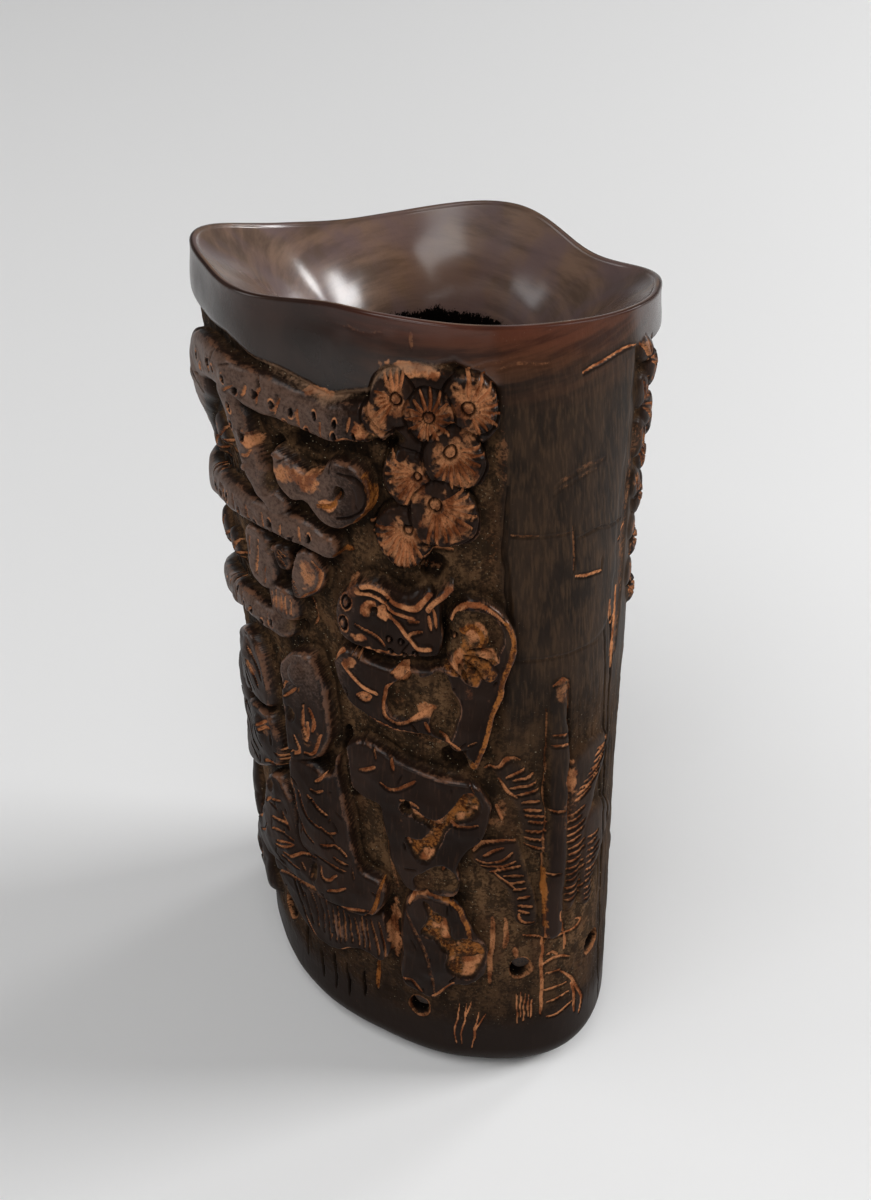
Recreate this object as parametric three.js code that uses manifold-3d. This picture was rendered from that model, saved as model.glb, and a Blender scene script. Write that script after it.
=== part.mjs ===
// Libation cup carved from one hollow horn, closed at the foot by a pegged plug.
// Millimetres, +Z up. The origin is on the surface it stands on, inside the foot.
// A place on the wall is a turn share, counted counterclockwise from the middle of
// the hidden back, and a height share, counted from the foot to the lip above it.

import * as THREE from 'three';
import * as BufferGeometryUtils from 'three/addons/utils/BufferGeometryUtils.js';
import Module from 'manifold-3d';

const wasm = await Module();
wasm.setup();

// The cup as a whole
const cupHeight = 130;
const footRadius = 28;
const mouthRadius = 30;
const footRounding = 6;
const backDirection = THREE.MathUtils.degToRad(110);
const flareShare = 0.48;

// Outlines, as shares of footRadius, mouthRadius and cupHeight, at even steps from +X
const footShares = [1.06, 0.85, 0.83, 0.87, 0.94, 1.01, 1.03, 0.93, 0.89, 0.91, 1.06, 1.22];
const mouthShares = [
  0.87, 0.99, 1.09, 1.05, 1.16, 1.2, 1.15, 1.19, 1.18, 1.01, 0.9, 0.74, 0.72, 0.72, 0.74, 0.78,
];
const lipHeightShares = [1.01, 0.976, 0.938, 0.952, 0.933, 0.953, 1.008, 1.031, 1.051, 1.059, 1.051, 1.035];

// The hollow: a bowl under the lip, a throat, and below it a bore that widens to the foot
const wallThickness = 6;
const lipThickness = 1;
const lipRounding = 0.4;
const throatHeight = 110;
const throatRadius = 13.5;
const throatCentreShares = [-0.13, 0.35];
const bowlConeShare = 0.55;
const bowlFlare = 2.4;
const straightRise = 8;

// The plug, its seal and the pegs
const plugHeight = 30;
const plugChamfer = 1.2;
const fitGap = 0.3;
const sealWidth = 2.2;
const sealHeight = 1.8;
const pegRadius = 1.5;
const pegSink = 1.2;
const pegBite = 4;
const drillOverrun = 6;

// Carving: half widths and heights above the ground, which lies on the wall's outline
const trunkHalf = 5.2;
const trunkRise = 2.9;
const branchHalf = 3.4;
const twigHalf = 2.3;
const branchRise = 2.6;
const fanHalf = 4.2;
const fanRise = 1.75;
const clusterRise = 1.35;
const clumpHalf = 2.7;
const clumpUp = 3.5;
const clumpRise = 2;
const leafRise = 2.6;
const budRise = 2;
const beastRise = 2.2;
const robeRise = 2.5;
const hemRise = 1.6;
const bandRise = 0.9;
const rockAcross = 5.4;
const rockUp = 6.4;
const rockRise = 2.1;
const bambooHalf = 1.6;
const bambooRise = 1.1;
const bladeRise = 0.9;
const plateBevel = 1.5;
const plateLap = 0.3;
const domeRise = 0.5;
const domeReach = 7;
const recessDepth = 1.2;
const slimPitHalf = 1.3;
const roundPitHalf = 2.4;
const longPitHalf = 4.4;
const pitDepth = 1.5;
const fullPower = 6;
const roundPower = 2.6;
const footMargin = 5;
const lipMargin = 7;

// How finely the solids are faceted
const wallSides = 76;
const frontCrowding = 0.35;
const wallRows = 54;
const boreRows = 11;
const bowlCrowding = 1.6;
const plugRows = 2;
const pegSides = 12;
const blurShares = [-0.34, 0, 0.34];

// Places of the pegs, four seen at the front and four assumed on the hidden side:
// turn shares, and heights as shares of the plug's
const pegShares = [
  [0.309, 0.59], [0.484, 0.476], [0.569, 0.842], [0.632, 0.8],
  [0.76, 0.6], [0.88, 0.45], [0.99, 0.61], [0.17, 0.52],
];

// Carved forms that run along a line: half width, rise and places
const ridges = [
  { half: trunkHalf, rise: trunkRise, shares: [
    [0.11, 0.03], [0.125, 0.2], [0.1, 0.36], [0.115, 0.52], [0.15, 0.66], [0.185, 0.79], [0.225, 0.86],
  ] },
  { half: branchHalf, rise: branchRise, shares: [
    [0.2, 0.83], [0.225, 0.865], [0.248, 0.89], [0.27, 0.902], [0.3, 0.905], [0.36, 0.895], [0.4, 0.885],
    [0.42, 0.889], [0.448, 0.896],
  ] },
  { half: twigHalf, rise: branchRise, shares: [
    [0.303, 0.885], [0.308, 0.87], [0.315, 0.845], [0.325, 0.82], [0.335, 0.79], [0.35, 0.77],
  ] },
  { half: twigHalf, rise: branchRise, shares: [
    [0.17, 0.7], [0.22, 0.715], [0.25, 0.73], [0.28, 0.742], [0.32, 0.75], [0.36, 0.747], [0.4, 0.74],
  ] },
  { half: twigHalf, rise: branchRise, shares: [
    [0.14, 0.53], [0.19, 0.56], [0.25, 0.59], [0.28, 0.607], [0.3, 0.614], [0.347, 0.612],
  ] },
  { half: branchHalf, rise: branchRise, shares: [
    [0.115, 0.5], [0.06, 0.58], [0.01, 0.62], [-0.05, 0.69], [-0.1, 0.72],
  ] },
  { half: twigHalf, rise: branchRise, shares: [
    [0.17, 0.76], [0.11, 0.83], [0.05, 0.86], [-0.02, 0.88],
  ] },
  { half: bambooHalf, rise: bambooRise, shares: [[0.594, 0.6], [0.594, 0.5], [0.591, 0.4], [0.583, 0.24]] },
  { half: bambooHalf, rise: bambooRise, shares: [[0.81, 0.9], [0.805, 0.7], [0.81, 0.5], [0.805, 0.27]] },
  { half: bambooHalf, rise: bambooRise, shares: [[0.855, 0.84], [0.86, 0.62], [0.855, 0.42], [0.86, 0.24]] },
];

// Raised flats with a rolled edge: rise and outline. The first is the band under the lip
const plates = [
  { rise: bandRise, dome: 0, shares: [
    [-0.07, 0.938], [0, 0.93], [0.06, 0.938], [0.12, 0.93], [0.19, 0.937], [0.25, 0.94], [0.3, 0.945],
    [0.33, 0.93], [0.36, 0.922], [0.4, 0.905], [0.44, 0.925], [0.45, 0.945], [0.5, 0.958], [0.53, 0.957],
    [0.559, 0.9], [0.558, 0.7], [0.56, 0.645], [0.58, 0.634], [0.62, 0.632], [0.65, 0.645], [0.664, 0.7],
    [0.672, 0.78], [0.69, 0.87], [0.7, 0.955], [0.78, 0.945], [0.86, 0.935], [0.93, 0.938], [1, 0.93],
    [1.06, 0.938], [1.06, 1.2], [-0.07, 1.2],
  ] },
  { rise: clusterRise, dome: 0, shares: [
    [0.448, 0.925], [0.455, 0.945], [0.475, 0.955], [0.5, 0.957], [0.53, 0.952], [0.546, 0.937], [0.552, 0.915],
    [0.545, 0.898], [0.535, 0.885], [0.541, 0.865], [0.536, 0.845], [0.522, 0.835], [0.534, 0.81], [0.533, 0.785],
    [0.518, 0.77], [0.502, 0.775], [0.493, 0.755], [0.478, 0.736], [0.463, 0.74], [0.452, 0.76], [0.455, 0.785],
    [0.466, 0.802], [0.461, 0.82], [0.468, 0.838], [0.46, 0.852], [0.474, 0.882], [0.462, 0.893], [0.45, 0.903],
  ] },
  { rise: leafRise, dome: 0, shares: [
    [0.347, 0.836], [0.36, 0.832], [0.37, 0.824], [0.385, 0.82], [0.395, 0.824], [0.402, 0.838], [0.415, 0.846],
    [0.43, 0.845], [0.44, 0.835], [0.443, 0.815], [0.44, 0.795], [0.43, 0.778], [0.415, 0.769], [0.4, 0.77],
    [0.388, 0.778], [0.366, 0.784], [0.356, 0.795], [0.35, 0.812],
  ] },
  { rise: budRise, dome: 0, shares: [
    [0.312, 0.722], [0.309, 0.69], [0.314, 0.66], [0.33, 0.65], [0.34, 0.665], [0.342, 0.7], [0.33, 0.725],
  ] },
  { rise: budRise, dome: 0, shares: [
    [0.367, 0.72], [0.385, 0.722], [0.392, 0.7], [0.389, 0.68], [0.378, 0.665], [0.365, 0.66], [0.36, 0.68],
    [0.363, 0.7],
  ] },
  { rise: budRise, dome: 0, shares: [
    [0.335, 0.66], [0.348, 0.663], [0.362, 0.658], [0.366, 0.64], [0.36, 0.625], [0.34, 0.622], [0.333, 0.64],
  ] },
  { rise: beastRise, dome: 0, shares: [
    [0.41, 0.677], [0.418, 0.694], [0.431, 0.709], [0.447, 0.716], [0.463, 0.711], [0.473, 0.706], [0.486, 0.714],
    [0.496, 0.718], [0.502, 0.71], [0.502, 0.687], [0.505, 0.66], [0.5, 0.643], [0.482, 0.637], [0.46, 0.628],
    [0.437, 0.628], [0.416, 0.633], [0.409, 0.646],
  ] },
  { rise: beastRise, dome: 0, shares: [
    [0.405, 0.601], [0.416, 0.617], [0.428, 0.62], [0.445, 0.614], [0.462, 0.613], [0.48, 0.617], [0.497, 0.622],
    [0.51, 0.63], [0.522, 0.627], [0.533, 0.633], [0.545, 0.655], [0.549, 0.645], [0.546, 0.613], [0.54, 0.58],
    [0.536, 0.547], [0.528, 0.53], [0.515, 0.523], [0.507, 0.533], [0.492, 0.538], [0.482, 0.534], [0.464, 0.533],
    [0.446, 0.536], [0.428, 0.544], [0.415, 0.557], [0.407, 0.577],
  ] },
  { rise: beastRise, dome: 0, shares: [
    [0.509, 0.69], [0.514, 0.702], [0.524, 0.711], [0.535, 0.711], [0.546, 0.703], [0.555, 0.688], [0.559, 0.669],
    [0.558, 0.65], [0.55, 0.606], [0.545, 0.58], [0.54, 0.55], [0.535, 0.523], [0.53, 0.5], [0.523, 0.51],
    [0.524, 0.545], [0.527, 0.575], [0.53, 0.6], [0.52, 0.62], [0.51, 0.64], [0.508, 0.66],
  ] },
  { rise: rockRise, dome: domeRise, shares: [
    [0.412, 0.478], [0.425, 0.493], [0.44, 0.499], [0.46, 0.491], [0.486, 0.482], [0.51, 0.478], [0.53, 0.475],
    [0.541, 0.455], [0.541, 0.437], [0.535, 0.4], [0.526, 0.38], [0.518, 0.36], [0.519, 0.33], [0.515, 0.308],
    [0.494, 0.306], [0.477, 0.304], [0.463, 0.327], [0.457, 0.36], [0.452, 0.394], [0.45, 0.42], [0.435, 0.42],
    [0.42, 0.43], [0.412, 0.45],
  ] },
  { rise: rockRise, dome: domeRise, shares: [
    [0.475, 0.284], [0.485, 0.298], [0.507, 0.301], [0.518, 0.296], [0.526, 0.26], [0.539, 0.23], [0.539, 0.189],
    [0.526, 0.17], [0.515, 0.167], [0.499, 0.139], [0.485, 0.144], [0.47, 0.154], [0.468, 0.2], [0.47, 0.25],
  ] },
  { rise: robeRise, dome: domeRise, shares: [
    [0.3465, 0.56], [0.35, 0.572], [0.358, 0.584], [0.37, 0.59], [0.381, 0.585], [0.39, 0.56], [0.395, 0.51],
    [0.397, 0.485], [0.39, 0.46], [0.38, 0.445], [0.36, 0.43], [0.35, 0.44], [0.349, 0.49], [0.3475, 0.52],
  ] },
  { rise: robeRise, dome: domeRise, shares: [
    [0.262, 0.4], [0.258, 0.355], [0.28, 0.35], [0.3, 0.365], [0.312, 0.38], [0.328, 0.395], [0.335, 0.42],
    [0.33, 0.45], [0.32, 0.465], [0.3, 0.46], [0.28, 0.45], [0.27, 0.43],
  ] },
  { rise: robeRise, dome: domeRise, shares: [
    [0.262, 0.47], [0.28, 0.462], [0.302, 0.472], [0.32, 0.478], [0.325, 0.5], [0.318, 0.535], [0.31, 0.556],
    [0.292, 0.566], [0.272, 0.55], [0.26, 0.52],
  ] },
  { rise: robeRise, dome: domeRise, shares: [
    [0.352, 0.43], [0.372, 0.436], [0.392, 0.43], [0.402, 0.44], [0.404, 0.46], [0.412, 0.41], [0.42, 0.34],
    [0.43, 0.31], [0.45, 0.3], [0.455, 0.285], [0.445, 0.25], [0.43, 0.236], [0.4, 0.234], [0.378, 0.242],
    [0.37, 0.29], [0.36, 0.302], [0.353, 0.37], [0.351, 0.4],
  ] },
  { rise: robeRise, dome: domeRise, shares: [
    [0.258, 0.215], [0.27, 0.25], [0.285, 0.28], [0.3, 0.31], [0.315, 0.37], [0.33, 0.378], [0.345, 0.36],
    [0.352, 0.33], [0.36, 0.302], [0.372, 0.29], [0.38, 0.25], [0.37, 0.24], [0.33, 0.232], [0.3, 0.222],
  ] },
  { rise: hemRise, dome: domeRise, shares: [
    [0.3, 0.215], [0.33, 0.222], [0.36, 0.228], [0.4, 0.228], [0.43, 0.236], [0.452, 0.245], [0.457, 0.2],
    [0.448, 0.166], [0.427, 0.169], [0.411, 0.159], [0.395, 0.146], [0.376, 0.141], [0.36, 0.152], [0.34, 0.17],
    [0.315, 0.19],
  ] },
  { rise: bladeRise, dome: 0, shares: [
    [0.546, 0.495], [0.562, 0.505], [0.575, 0.48], [0.584, 0.43], [0.587, 0.37], [0.572, 0.385], [0.56, 0.45],
  ] },
  { rise: bladeRise, dome: 0, shares: [
    [0.53, 0.36], [0.54, 0.387], [0.562, 0.393], [0.57, 0.35], [0.577, 0.3], [0.578, 0.262], [0.563, 0.27],
    [0.552, 0.325],
  ] },
  { rise: bladeRise, dome: 0, shares: [
    [0.602, 0.44], [0.605, 0.49], [0.63, 0.502], [0.65, 0.485], [0.632, 0.43], [0.618, 0.36], [0.609, 0.28],
    [0.6, 0.28],
  ] },
  { rise: bladeRise, dome: 0, shares: [
    [0.616, 0.39], [0.64, 0.4], [0.66, 0.372], [0.645, 0.34], [0.63, 0.3], [0.625, 0.262], [0.614, 0.28],
  ] },
  { rise: bladeRise, dome: 0, shares: [[0.765, 0.56], [0.787, 0.55], [0.8, 0.44], [0.796, 0.38], [0.78, 0.44]] },
  { rise: bladeRise, dome: 0, shares: [[0.815, 0.78], [0.837, 0.77], [0.85, 0.67], [0.846, 0.6], [0.83, 0.66]] },
  { rise: bladeRise, dome: 0, shares: [[0.87, 0.56], [0.892, 0.57], [0.905, 0.48], [0.893, 0.41], [0.88, 0.48]] },
];

// Flats cut into the forms, with the same rolled edge: depth and outline
const recesses = [
  { rise: recessDepth, dome: 0, shares: [
    [0.478, 0.612], [0.49, 0.612], [0.506, 0.622], [0.511, 0.605], [0.516, 0.58], [0.512, 0.55], [0.506, 0.537],
    [0.497, 0.55], [0.497, 0.57], [0.485, 0.562], [0.475, 0.556], [0.465, 0.556], [0.459, 0.57], [0.463, 0.59],
  ] },
  { rise: recessDepth, dome: 0, shares: [
    [0.408, 0.5], [0.414, 0.495], [0.417, 0.457], [0.424, 0.415], [0.419, 0.408], [0.411, 0.45],
  ] },
];

// Swelling forms: half widths across and up, rise, fullness and place
const mounds = [
  ...[
    [0.462, 0.922], [0.4935, 0.912], [0.527, 0.927], [0.514, 0.868], [0.476, 0.84], [0.506, 0.806], [0.471, 0.772],
    [0.03, 0.8], [-0.015, 0.79], [-0.06, 0.8], [-0.05, 0.85], [0.075, 0.74], [0.025, 0.71], [-0.12, 0.79],
    [-0.145, 0.74], [-0.105, 0.655], [0.145, 0.885], [0.085, 0.9],
  ].map((share) => ({ across: fanHalf, up: fanHalf, rise: fanRise, power: fullPower, share })),
  ...[
    [0.262, 0.66], [0.225, 0.65], [0.262, 0.81], [0.24, 0.78], [0.716, 0.95], [0.729, 0.92], [0.711, 0.9],
    [0.725, 0.87], [0.707, 0.845], [0.719, 0.815], [0.702, 0.79], [0.713, 0.765], [0.698, 0.735],
    [0.708, 0.71], [0.693, 0.68], [0.704, 0.65], [0.745, 0.76], [0.75, 0.84],
  ].map((share) => ({ across: clumpHalf, up: clumpUp, rise: clumpRise, power: roundPower, share })),
  ...[
    [0.245, 0.16], [0.215, 0.24], [0.225, 0.42], [0.2, 0.33], [0.19, 0.13], [0.045, 0.14], [0.0, 0.24],
    [-0.045, 0.13], [0.06, 0.28], [-0.08, 0.25], [-0.13, 0.16], [0.71, 0.28], [0.76, 0.22], [0.0, 0.42],
    [-0.06, 0.42], [0.045, 0.44],
  ].map((share) => ({ across: rockAcross, up: rockUp, rise: rockRise, power: roundPower, share })),
];

// Pits cut below the ground or into a form: half widths, depth and place
const hollows = [
  [slimPitHalf, longPitHalf, [0.345, 0.815]],
  [longPitHalf, slimPitHalf, [0.376, 0.848]],
  [roundPitHalf, roundPitHalf, [0.497, 0.74]],
  [roundPitHalf, roundPitHalf, [0.517, 0.502]],
  [slimPitHalf, roundPitHalf, [0.509, 0.667]],
  [slimPitHalf, longPitHalf, [0.337, 0.51]],
  [roundPitHalf, roundPitHalf, [-0.02, 0.5]],
  [roundPitHalf, roundPitHalf, [0.74, 0.5]],
].map(([across, up, share]) => ({ across, up, rise: pitDepth, power: roundPower, share }));

// A smooth closed run through shares at even steps round the cup
function aroundShares(shares, angle) {
  const count = shares.length;
  const step = THREE.MathUtils.euclideanModulo(angle / (2 * Math.PI), 1) * count;
  const first = Math.floor(step);
  const f = step - first;
  const [a, b, c, d] = [-1, 0, 1, 2].map((k) => shares[(first + k + count) % count]);
  return b + (f / 2) * (c - a + f * (2 * a - 5 * b + 4 * c - d + f * (3 * (b - c) + d - a)));
}

function lipHeight(angle) {
  return cupHeight * aroundShares(lipHeightShares, angle);
}

// Radius of the ground of the outside, before any carving
function groundRadius(angle, heightShare) {
  const foot = footRadius * aroundShares(footShares, angle);
  const mouth = mouthRadius * aroundShares(mouthShares, angle);
  const blend = heightShare + flareShare * (heightShare ** 3 - heightShare);
  const belowRounding = THREE.MathUtils.clamp(1 - (heightShare * lipHeight(angle)) / footRounding, 0, 1);
  const tuck = footRounding * (1 - Math.sqrt(1 - belowRounding ** 2));
  return foot + (mouth - foot) * blend - tuck;
}

// Distance from the origin's axis to the edge of the round throat, whose centre is off that axis
function throatReach(angle) {
  const [x, y] = throatCentreShares.map((share) => share * mouthRadius);
  const along = x * Math.cos(angle) + y * Math.sin(angle);
  const aside = x * Math.sin(angle) - y * Math.cos(angle);
  return along + Math.sqrt(throatRadius ** 2 - aside ** 2);
}

// Radius of the hollow at a height share
function boreRadius(angle, heightShare) {
  const height = heightShare * lipHeight(angle);
  if (height > throatHeight) {
    const bowlShare = (height - throatHeight) / (lipHeight(angle) - throatHeight);
    const mouth = groundRadius(angle, 1) - lipThickness;
    const opening = THREE.MathUtils.lerp(bowlShare ** bowlFlare, bowlShare, bowlConeShare);
    return THREE.MathUtils.lerp(throatReach(angle), mouth, opening);
  }
  const foot = groundRadius(angle, Math.max(heightShare, footRounding / lipHeight(angle))) - wallThickness;
  const narrowing = THREE.MathUtils.smoothstep(height, plugHeight + straightRise, throatHeight);
  return THREE.MathUtils.lerp(foot, throatReach(angle), narrowing);
}

// A place on the unrolled wall, in millimetres
function unrolled([turnShare, heightShare]) {
  return new THREE.Vector2(turnShare * 2 * Math.PI * footRadius, heightShare * cupHeight);
}

function distanceToLine(point, start, end) {
  const run = end.clone().sub(start);
  const along = THREE.MathUtils.clamp(point.clone().sub(start).dot(run) / run.lengthSq(), 0, 1);
  return point.distanceTo(start.clone().addScaledVector(run, along));
}

function isInside(point, outline) {
  let inside = false;
  outline.forEach((a, k) => {
    const b = outline[(k + 1) % outline.length];
    const crosses = (a.y > point.y) !== (b.y > point.y);
    if (crosses && point.x < a.x + ((point.y - a.y) / (b.y - a.y)) * (b.x - a.x)) inside = !inside;
  });
  return inside;
}

function ridgeRise(point, { half, rise, places }) {
  let nearest = Infinity;
  for (let k = 1; k < places.length; k += 1) {
    nearest = Math.min(nearest, distanceToLine(point, places[k - 1], places[k]));
  }
  return nearest < half ? rise * Math.sqrt(1 - (nearest / half) ** roundPower) : 0;
}

function plateRise(point, { rise, dome, places }) {
  let edge = Infinity;
  places.forEach((place, k) => {
    edge = Math.min(edge, distanceToLine(point, place, places[(k + 1) % places.length]));
  });
  const inward = isInside(point, places) ? edge : -edge;
  const rolled = THREE.MathUtils.clamp((inward + plateLap) / plateBevel, 0, 1);
  return rise * Math.sqrt(1 - (1 - rolled) ** 2) + dome * THREE.MathUtils.smoothstep(inward, 0, domeReach);
}

function moundRise(point, { across, up, rise, power, place }) {
  const reach = Math.hypot((point.x - place.x) / across, (point.y - place.y) / up);
  return reach < 1 ? rise * Math.sqrt(1 - reach ** power) : 0;
}

const carvedRidges = ridges.map((form) => ({ ...form, places: form.shares.map(unrolled) }));
const carvedPlates = plates.map((form) => ({ ...form, places: form.shares.map(unrolled) }));
const carvedRecesses = recesses.map((form) => ({ ...form, places: form.shares.map(unrolled) }));
const carvedMounds = mounds.map((form) => ({ ...form, place: unrolled(form.share) }));
const carvedHollows = hollows.map((form) => ({ ...form, place: unrolled(form.share) }));

// Height of the carving over the ground; each form is also met from the other side of the seam
function carvingAt(turnShare, heightShare) {
  let raised = 0;
  let cut = 0;
  for (const lap of [-1, 0, 1]) {
    const point = unrolled([turnShare + lap, heightShare]);
    for (const form of carvedRidges) raised = Math.max(raised, ridgeRise(point, form));
    for (const form of carvedPlates) raised = Math.max(raised, plateRise(point, form));
    for (const form of carvedMounds) raised = Math.max(raised, moundRise(point, form));
    for (const form of carvedRecesses) cut = Math.max(cut, plateRise(point, form));
    for (const form of carvedHollows) cut = Math.max(cut, moundRise(point, form));
  }
  const fromFoot = THREE.MathUtils.smoothstep(heightShare * cupHeight, 0, footMargin);
  const fromLip = THREE.MathUtils.smoothstep((1 - heightShare) * cupHeight, 0, lipMargin);
  return (raised - cut) * fromFoot * fromLip;
}

// The carving as the facets hold it: the mean height round a place
function carving(turnShare, heightShare) {
  let sum = 0;
  for (const across of blurShares) {
    for (const up of blurShares) sum += carvingAt(turnShare + across / wallSides, heightShare + up / wallRows);
  }
  return sum / blurShares.length ** 2;
}

// Closed meshes to and from solids that can be cut
function toSolid(geometry) {
  const bare = geometry.clone();
  bare.deleteAttribute('normal');
  bare.deleteAttribute('uv');
  const merged = BufferGeometryUtils.mergeVertices(bare);
  const vertProperties = new Float32Array(merged.attributes.position.array);
  const triVerts = new Uint32Array(merged.index.array);
  return new wasm.Manifold(new wasm.Mesh({ numProp: 3, vertProperties, triVerts }));
}

function toGeometry(solid) {
  const { vertProperties, triVerts } = solid.getMesh();
  const geometry = new THREE.BufferGeometry();
  geometry.setAttribute('position', new THREE.BufferAttribute(vertProperties, 3));
  geometry.setIndex(new THREE.BufferAttribute(triVerts, 1));
  geometry.computeVertexNormals();
  return geometry;
}

// The facets stand closer together at the front, where the carving is seen
function crowdedAngle(stepShare) {
  const even = stepShare * 2 * Math.PI;
  return backDirection + even + frontCrowding * Math.sin(even);
}

// A lathe turned about +Z, each of its points then moved by place(angle, across, up)
function turned(profile, sides, place) {
  const lathe = new THREE.LatheGeometry(profile.map(([x, y]) => new THREE.Vector2(x, y)), sides);
  lathe.rotateX(Math.PI / 2);
  const { position } = lathe.attributes;
  const point = new THREE.Vector3();
  for (let k = 0; k < position.count; k += 1) {
    point.fromBufferAttribute(position, k);
    const side = Math.round((Math.atan2(point.y, point.x) / (2 * Math.PI)) * sides);
    const angle = crowdedAngle(side / sides);
    const across = Math.hypot(point.x, point.y);
    const { radius, height } = place(angle, across, point.z);
    position.setXYZ(k, radius * Math.cos(angle), radius * Math.sin(angle), height);
  }
  return lathe;
}

function turnShareOf(angle) {
  return THREE.MathUtils.euclideanModulo((angle - backDirection) / (2 * Math.PI), 1);
}

// The horn: up the carved outside, over the rounded lip, down the bore
const insideMark = 1;
const outsideMark = 2;
const carvedSkinShare = 0.9;

function hornProfile() {
  const lipShare = lipRounding / cupHeight;
  const outside = [];
  for (let k = 0; k <= wallRows; k += 1) outside.push([outsideMark, (k / wallRows) * (1 - lipShare)]);
  const inside = [];
  for (let k = 0; k <= boreRows; k += 1) {
    inside.push([insideMark, (1 - (k / boreRows) ** bowlCrowding) * (1 - lipShare)]);
  }
  const middle = (outsideMark + insideMark) / 2;
  const quarter = (outsideMark - insideMark) / 4;
  const nearTop = 1 - lipShare / 4;
  const lip = [[middle + quarter, nearTop], [middle, 1], [middle - quarter, nearTop]];
  return [...outside, ...lip, ...inside, [outsideMark, 0]];
}

function hornPlace(angle, across, heightShare) {
  const outer = groundRadius(angle, heightShare);
  const inner = boreRadius(angle, heightShare);
  const skin = (across - insideMark) / (outsideMark - insideMark);
  const carved = skin > carvedSkinShare ? carving(turnShareOf(angle), heightShare) : 0;
  return { radius: THREE.MathUtils.lerp(inner, outer, skin) + carved, height: heightShare * lipHeight(angle) };
}

// The outward direction of the wall in plan at a turn share
function wallDirection(turnShare, heightShare) {
  const angle = backDirection + turnShare * 2 * Math.PI;
  const step = Math.PI / wallSides;
  const [a, b] = [angle - step, angle + step].map((side) => {
    const radius = groundRadius(side, heightShare);
    return new THREE.Vector3(radius * Math.cos(side), radius * Math.sin(side), 0);
  });
  const along = b.sub(a).normalize();
  return new THREE.Vector3(along.y, -along.x, 0);
}

// A rod square to the wall, from outer to inner distances measured inward from the ground
function rodAt([turnShare, plugShare], radius, from, to) {
  const angle = backDirection + turnShare * 2 * Math.PI;
  const height = plugShare * plugHeight;
  const heightShare = height / lipHeight(angle);
  const ground = groundRadius(angle, heightShare);
  const outward = wallDirection(turnShare, heightShare);
  const centre = new THREE.Vector3(ground * Math.cos(angle), ground * Math.sin(angle), height);
  centre.addScaledVector(outward, -(from + to) / 2);
  const rod = new THREE.CylinderGeometry(radius, radius, to - from, pegSides);
  rod.applyQuaternion(new THREE.Quaternion().setFromUnitVectors(new THREE.Vector3(0, 1, 0), outward));
  rod.translate(centre.x, centre.y, centre.z);
  return rod;
}

function pegHole(share) {
  return toSolid(rodAt(share, pegRadius + fitGap, -drillOverrun, wallThickness + pegBite + fitGap));
}

function drilled(geometry) {
  const holes = pegShares.map(pegHole);
  return toGeometry(holes.reduce((solid, hole) => solid.subtract(hole), toSolid(geometry)));
}

function makeHornWall() {
  return drilled(turned(hornProfile(), wallSides, hornPlace));
}

// The plug fills the bore's foot, a fit gap inside it
function makeBasePlug() {
  const profile = [[0, 0]];
  for (let k = 0; k <= plugRows; k += 1) profile.push([1, (k / plugRows) * (plugHeight - plugChamfer)]);
  profile.push([1 - plugChamfer / footRadius, plugHeight], [0, plugHeight]);
  return drilled(turned(profile, wallSides, (angle, across, height) => ({
    radius: across * (boreRadius(angle, height / lipHeight(angle)) - fitGap),
    height,
  })));
}

// The seal is a poured bead in the corner between plug and bore
function makePlugSeal() {
  const low = plugHeight + fitGap;
  const profile = [[0, low], [0, low + sealHeight], [sealWidth, low], [0, low]];
  const start = footRadius;
  const ring = profile.map(([inward, height]) => [start - inward, height]);
  return turned(ring, wallSides, (angle, across, height) => ({
    radius: boreRadius(angle, height / lipHeight(angle)) - fitGap - (start - across),
    height,
  }));
}

function makePeg(share) {
  return rodAt(share, pegRadius, pegSink, wallThickness + pegBite);
}

function hornMaterial() {
  return new THREE.MeshStandardMaterial({ color: 0x33261f, roughness: 0.38, metalness: 0 });
}

function plugMaterial() {
  return new THREE.MeshStandardMaterial({ color: 0x241a15, roughness: 0.55, metalness: 0 });
}

function sealMaterial() {
  return new THREE.MeshStandardMaterial({ color: 0x6b3f1c, roughness: 0.5, metalness: 0 });
}

function pegMaterial() {
  return new THREE.MeshStandardMaterial({ color: 0x5a3a20, roughness: 0.7, metalness: 0 });
}

function named(name, geometry, material) {
  const mesh = new THREE.Mesh(geometry, material);
  mesh.name = name;
  return mesh;
}

const cup = new THREE.Group();
cup.add(named('horn_wall', makeHornWall(), hornMaterial()));
cup.add(named('base_plug', makeBasePlug(), plugMaterial()));
cup.add(named('plug_seal', makePlugSeal(), sealMaterial()));
pegShares.forEach((share, k) => cup.add(named(`peg_${k + 1}`, makePeg(share), pegMaterial())));

export default cup;
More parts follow.
